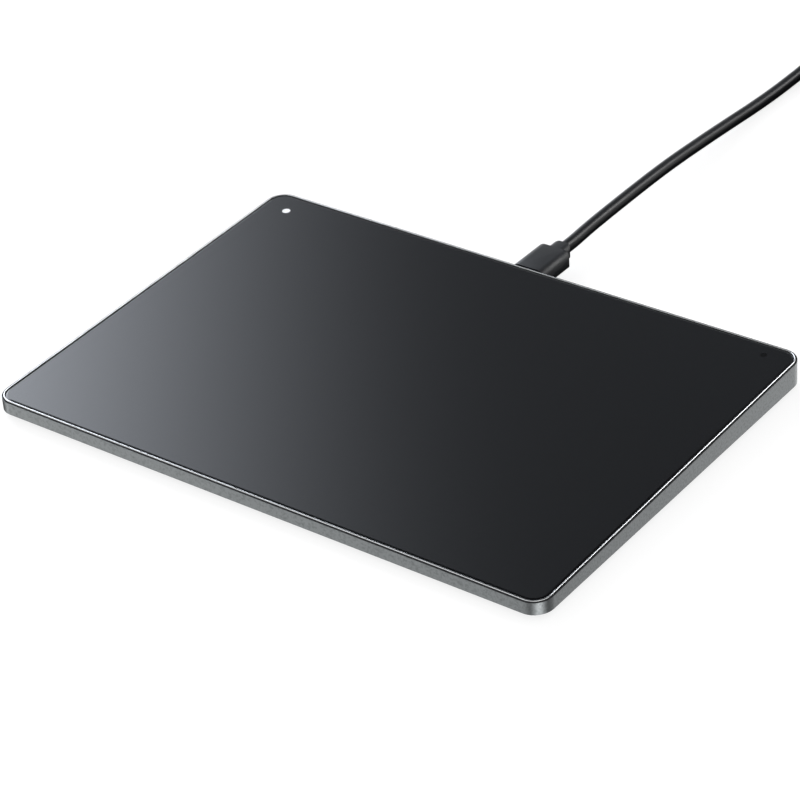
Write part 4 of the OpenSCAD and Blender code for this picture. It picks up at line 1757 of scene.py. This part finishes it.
    def floor(self) -> None:
        """Lays the white floor: it keeps the object's shadow, and can be seen through from below."""
        floor = add_plane("floor", self.floor_side * MM)
        material, tree = new_material("white_table")
        white = add_node(tree, "BsdfDiffuse", inputs={"Color": linear(self.floor_tone)})
        lift = add_node(tree, "Emission", inputs={"Strength": self.floor_lift})
        lit = add_node(tree, "AddShader", inputs={0: white.outputs[0], 1: lift.outputs[0]})
        direct = self.seen_directly(tree)
        top = add_node(tree, "MixShader", inputs={0: direct, 1: white.outputs[0], 2: lit.outputs[0]})
        below = add_node(tree, "NewGeometry").outputs["Backfacing"]
        clear = add_node(tree, "BsdfTransparent")
        whole = add_node(tree, "MixShader", inputs={0: below, 1: top.outputs[0], 2: clear.outputs[0]})
        tree.links.new(whole.outputs[0], tree.nodes["Material Output"].inputs["Surface"])
        floor.data.materials.append(material)
        floor.visible_glossy = False

    def sky(self) -> None:
        """Surrounds the table with white, which lights it evenly."""
        world = bpy.data.worlds.new("white_room")
        world.use_nodes = True
        tree = world.node_tree
        tree.nodes.clear()
        room = add_node(tree, "Background", inputs={"Strength": self.ambient})
        backdrop = add_node(tree, "Background", inputs={"Strength": 1.0})
        for background in (room, backdrop):
            background.inputs["Color"].default_value = linear("#ffffff")
        direct = self.seen_directly(tree)
        mixed = add_node(tree, "MixShader", inputs={0: direct, 1: room.outputs[0], 2: backdrop.outputs[0]})
        output = add_node(tree, "OutputWorld")
        tree.links.new(mixed.outputs[0], output.inputs["Surface"])
        bpy.context.scene.world = world

    def build(self) -> None:
        """Sets up everything but the camera."""
        bpy.context.scene.view_settings.view_transform = "Standard"
        self.floor()
        self.sky()
        self.panel()
        Cove().build()
        for card in self.cards:
            card.build()
        low, high = (Vector(corner) * MM for corner in self.table_flag)
        size = Matrix.Diagonal((high.x - low.x, high.y - low.y, 1.0, 1.0))
        hang_card("table_flag", 0.0, Matrix.Translation((low + high) / 2) @ size)


def dress_cad(nodes: Mapping[str, bpy.types.Object], record: Mapping[str, Any]) -> None:
    """Gives every CAD node the finish of its slot.

    Args:
        nodes: the CAD nodes by name.
        record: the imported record.
    """
    for part in record["subparts"]:
        node = nodes[part["node"]]
        finish = FINISHES[Slot(part["material_slot"])]
        node.data.materials.clear()
        node.data.materials.append(finish.material())
        log.info("%s is %s", node.name, finish.name)


def main() -> None:
    """Builds the camera and the lead first, then the pieces, the finishes and the studio."""
    logging.basicConfig(level=logging.INFO, format="%(name)s: %(message)s")
    deck = Deck()
    FINISHES[Slot.LIT_WINDOW] = LitFinish(
        # Opal acrylic light guide, lit from below.
        "lit_opal_acrylic", "#dedede", "#d9d9da", roughness=0.3, ior=1.49, centre=deck.power_window()
    )
    studio = Studio(deck)
    studio.camera()
    lead = Lead()
    cord = lead.build()
    on_it = [DevicePlug().build(), *HostPlug().build(), CoilTie().build()]
    lead.declare()
    TrimRing(deck).build()
    # The black strip on the wall's rim is painted shade for the line between wall and ring.
    RimShadeStrip(deck).build()
    Feet().build()
    PortContacts().build()
    dress_cad(frame["nodes"], frame["record"])
    studio.build()


if __name__ == "__main__":
    main()
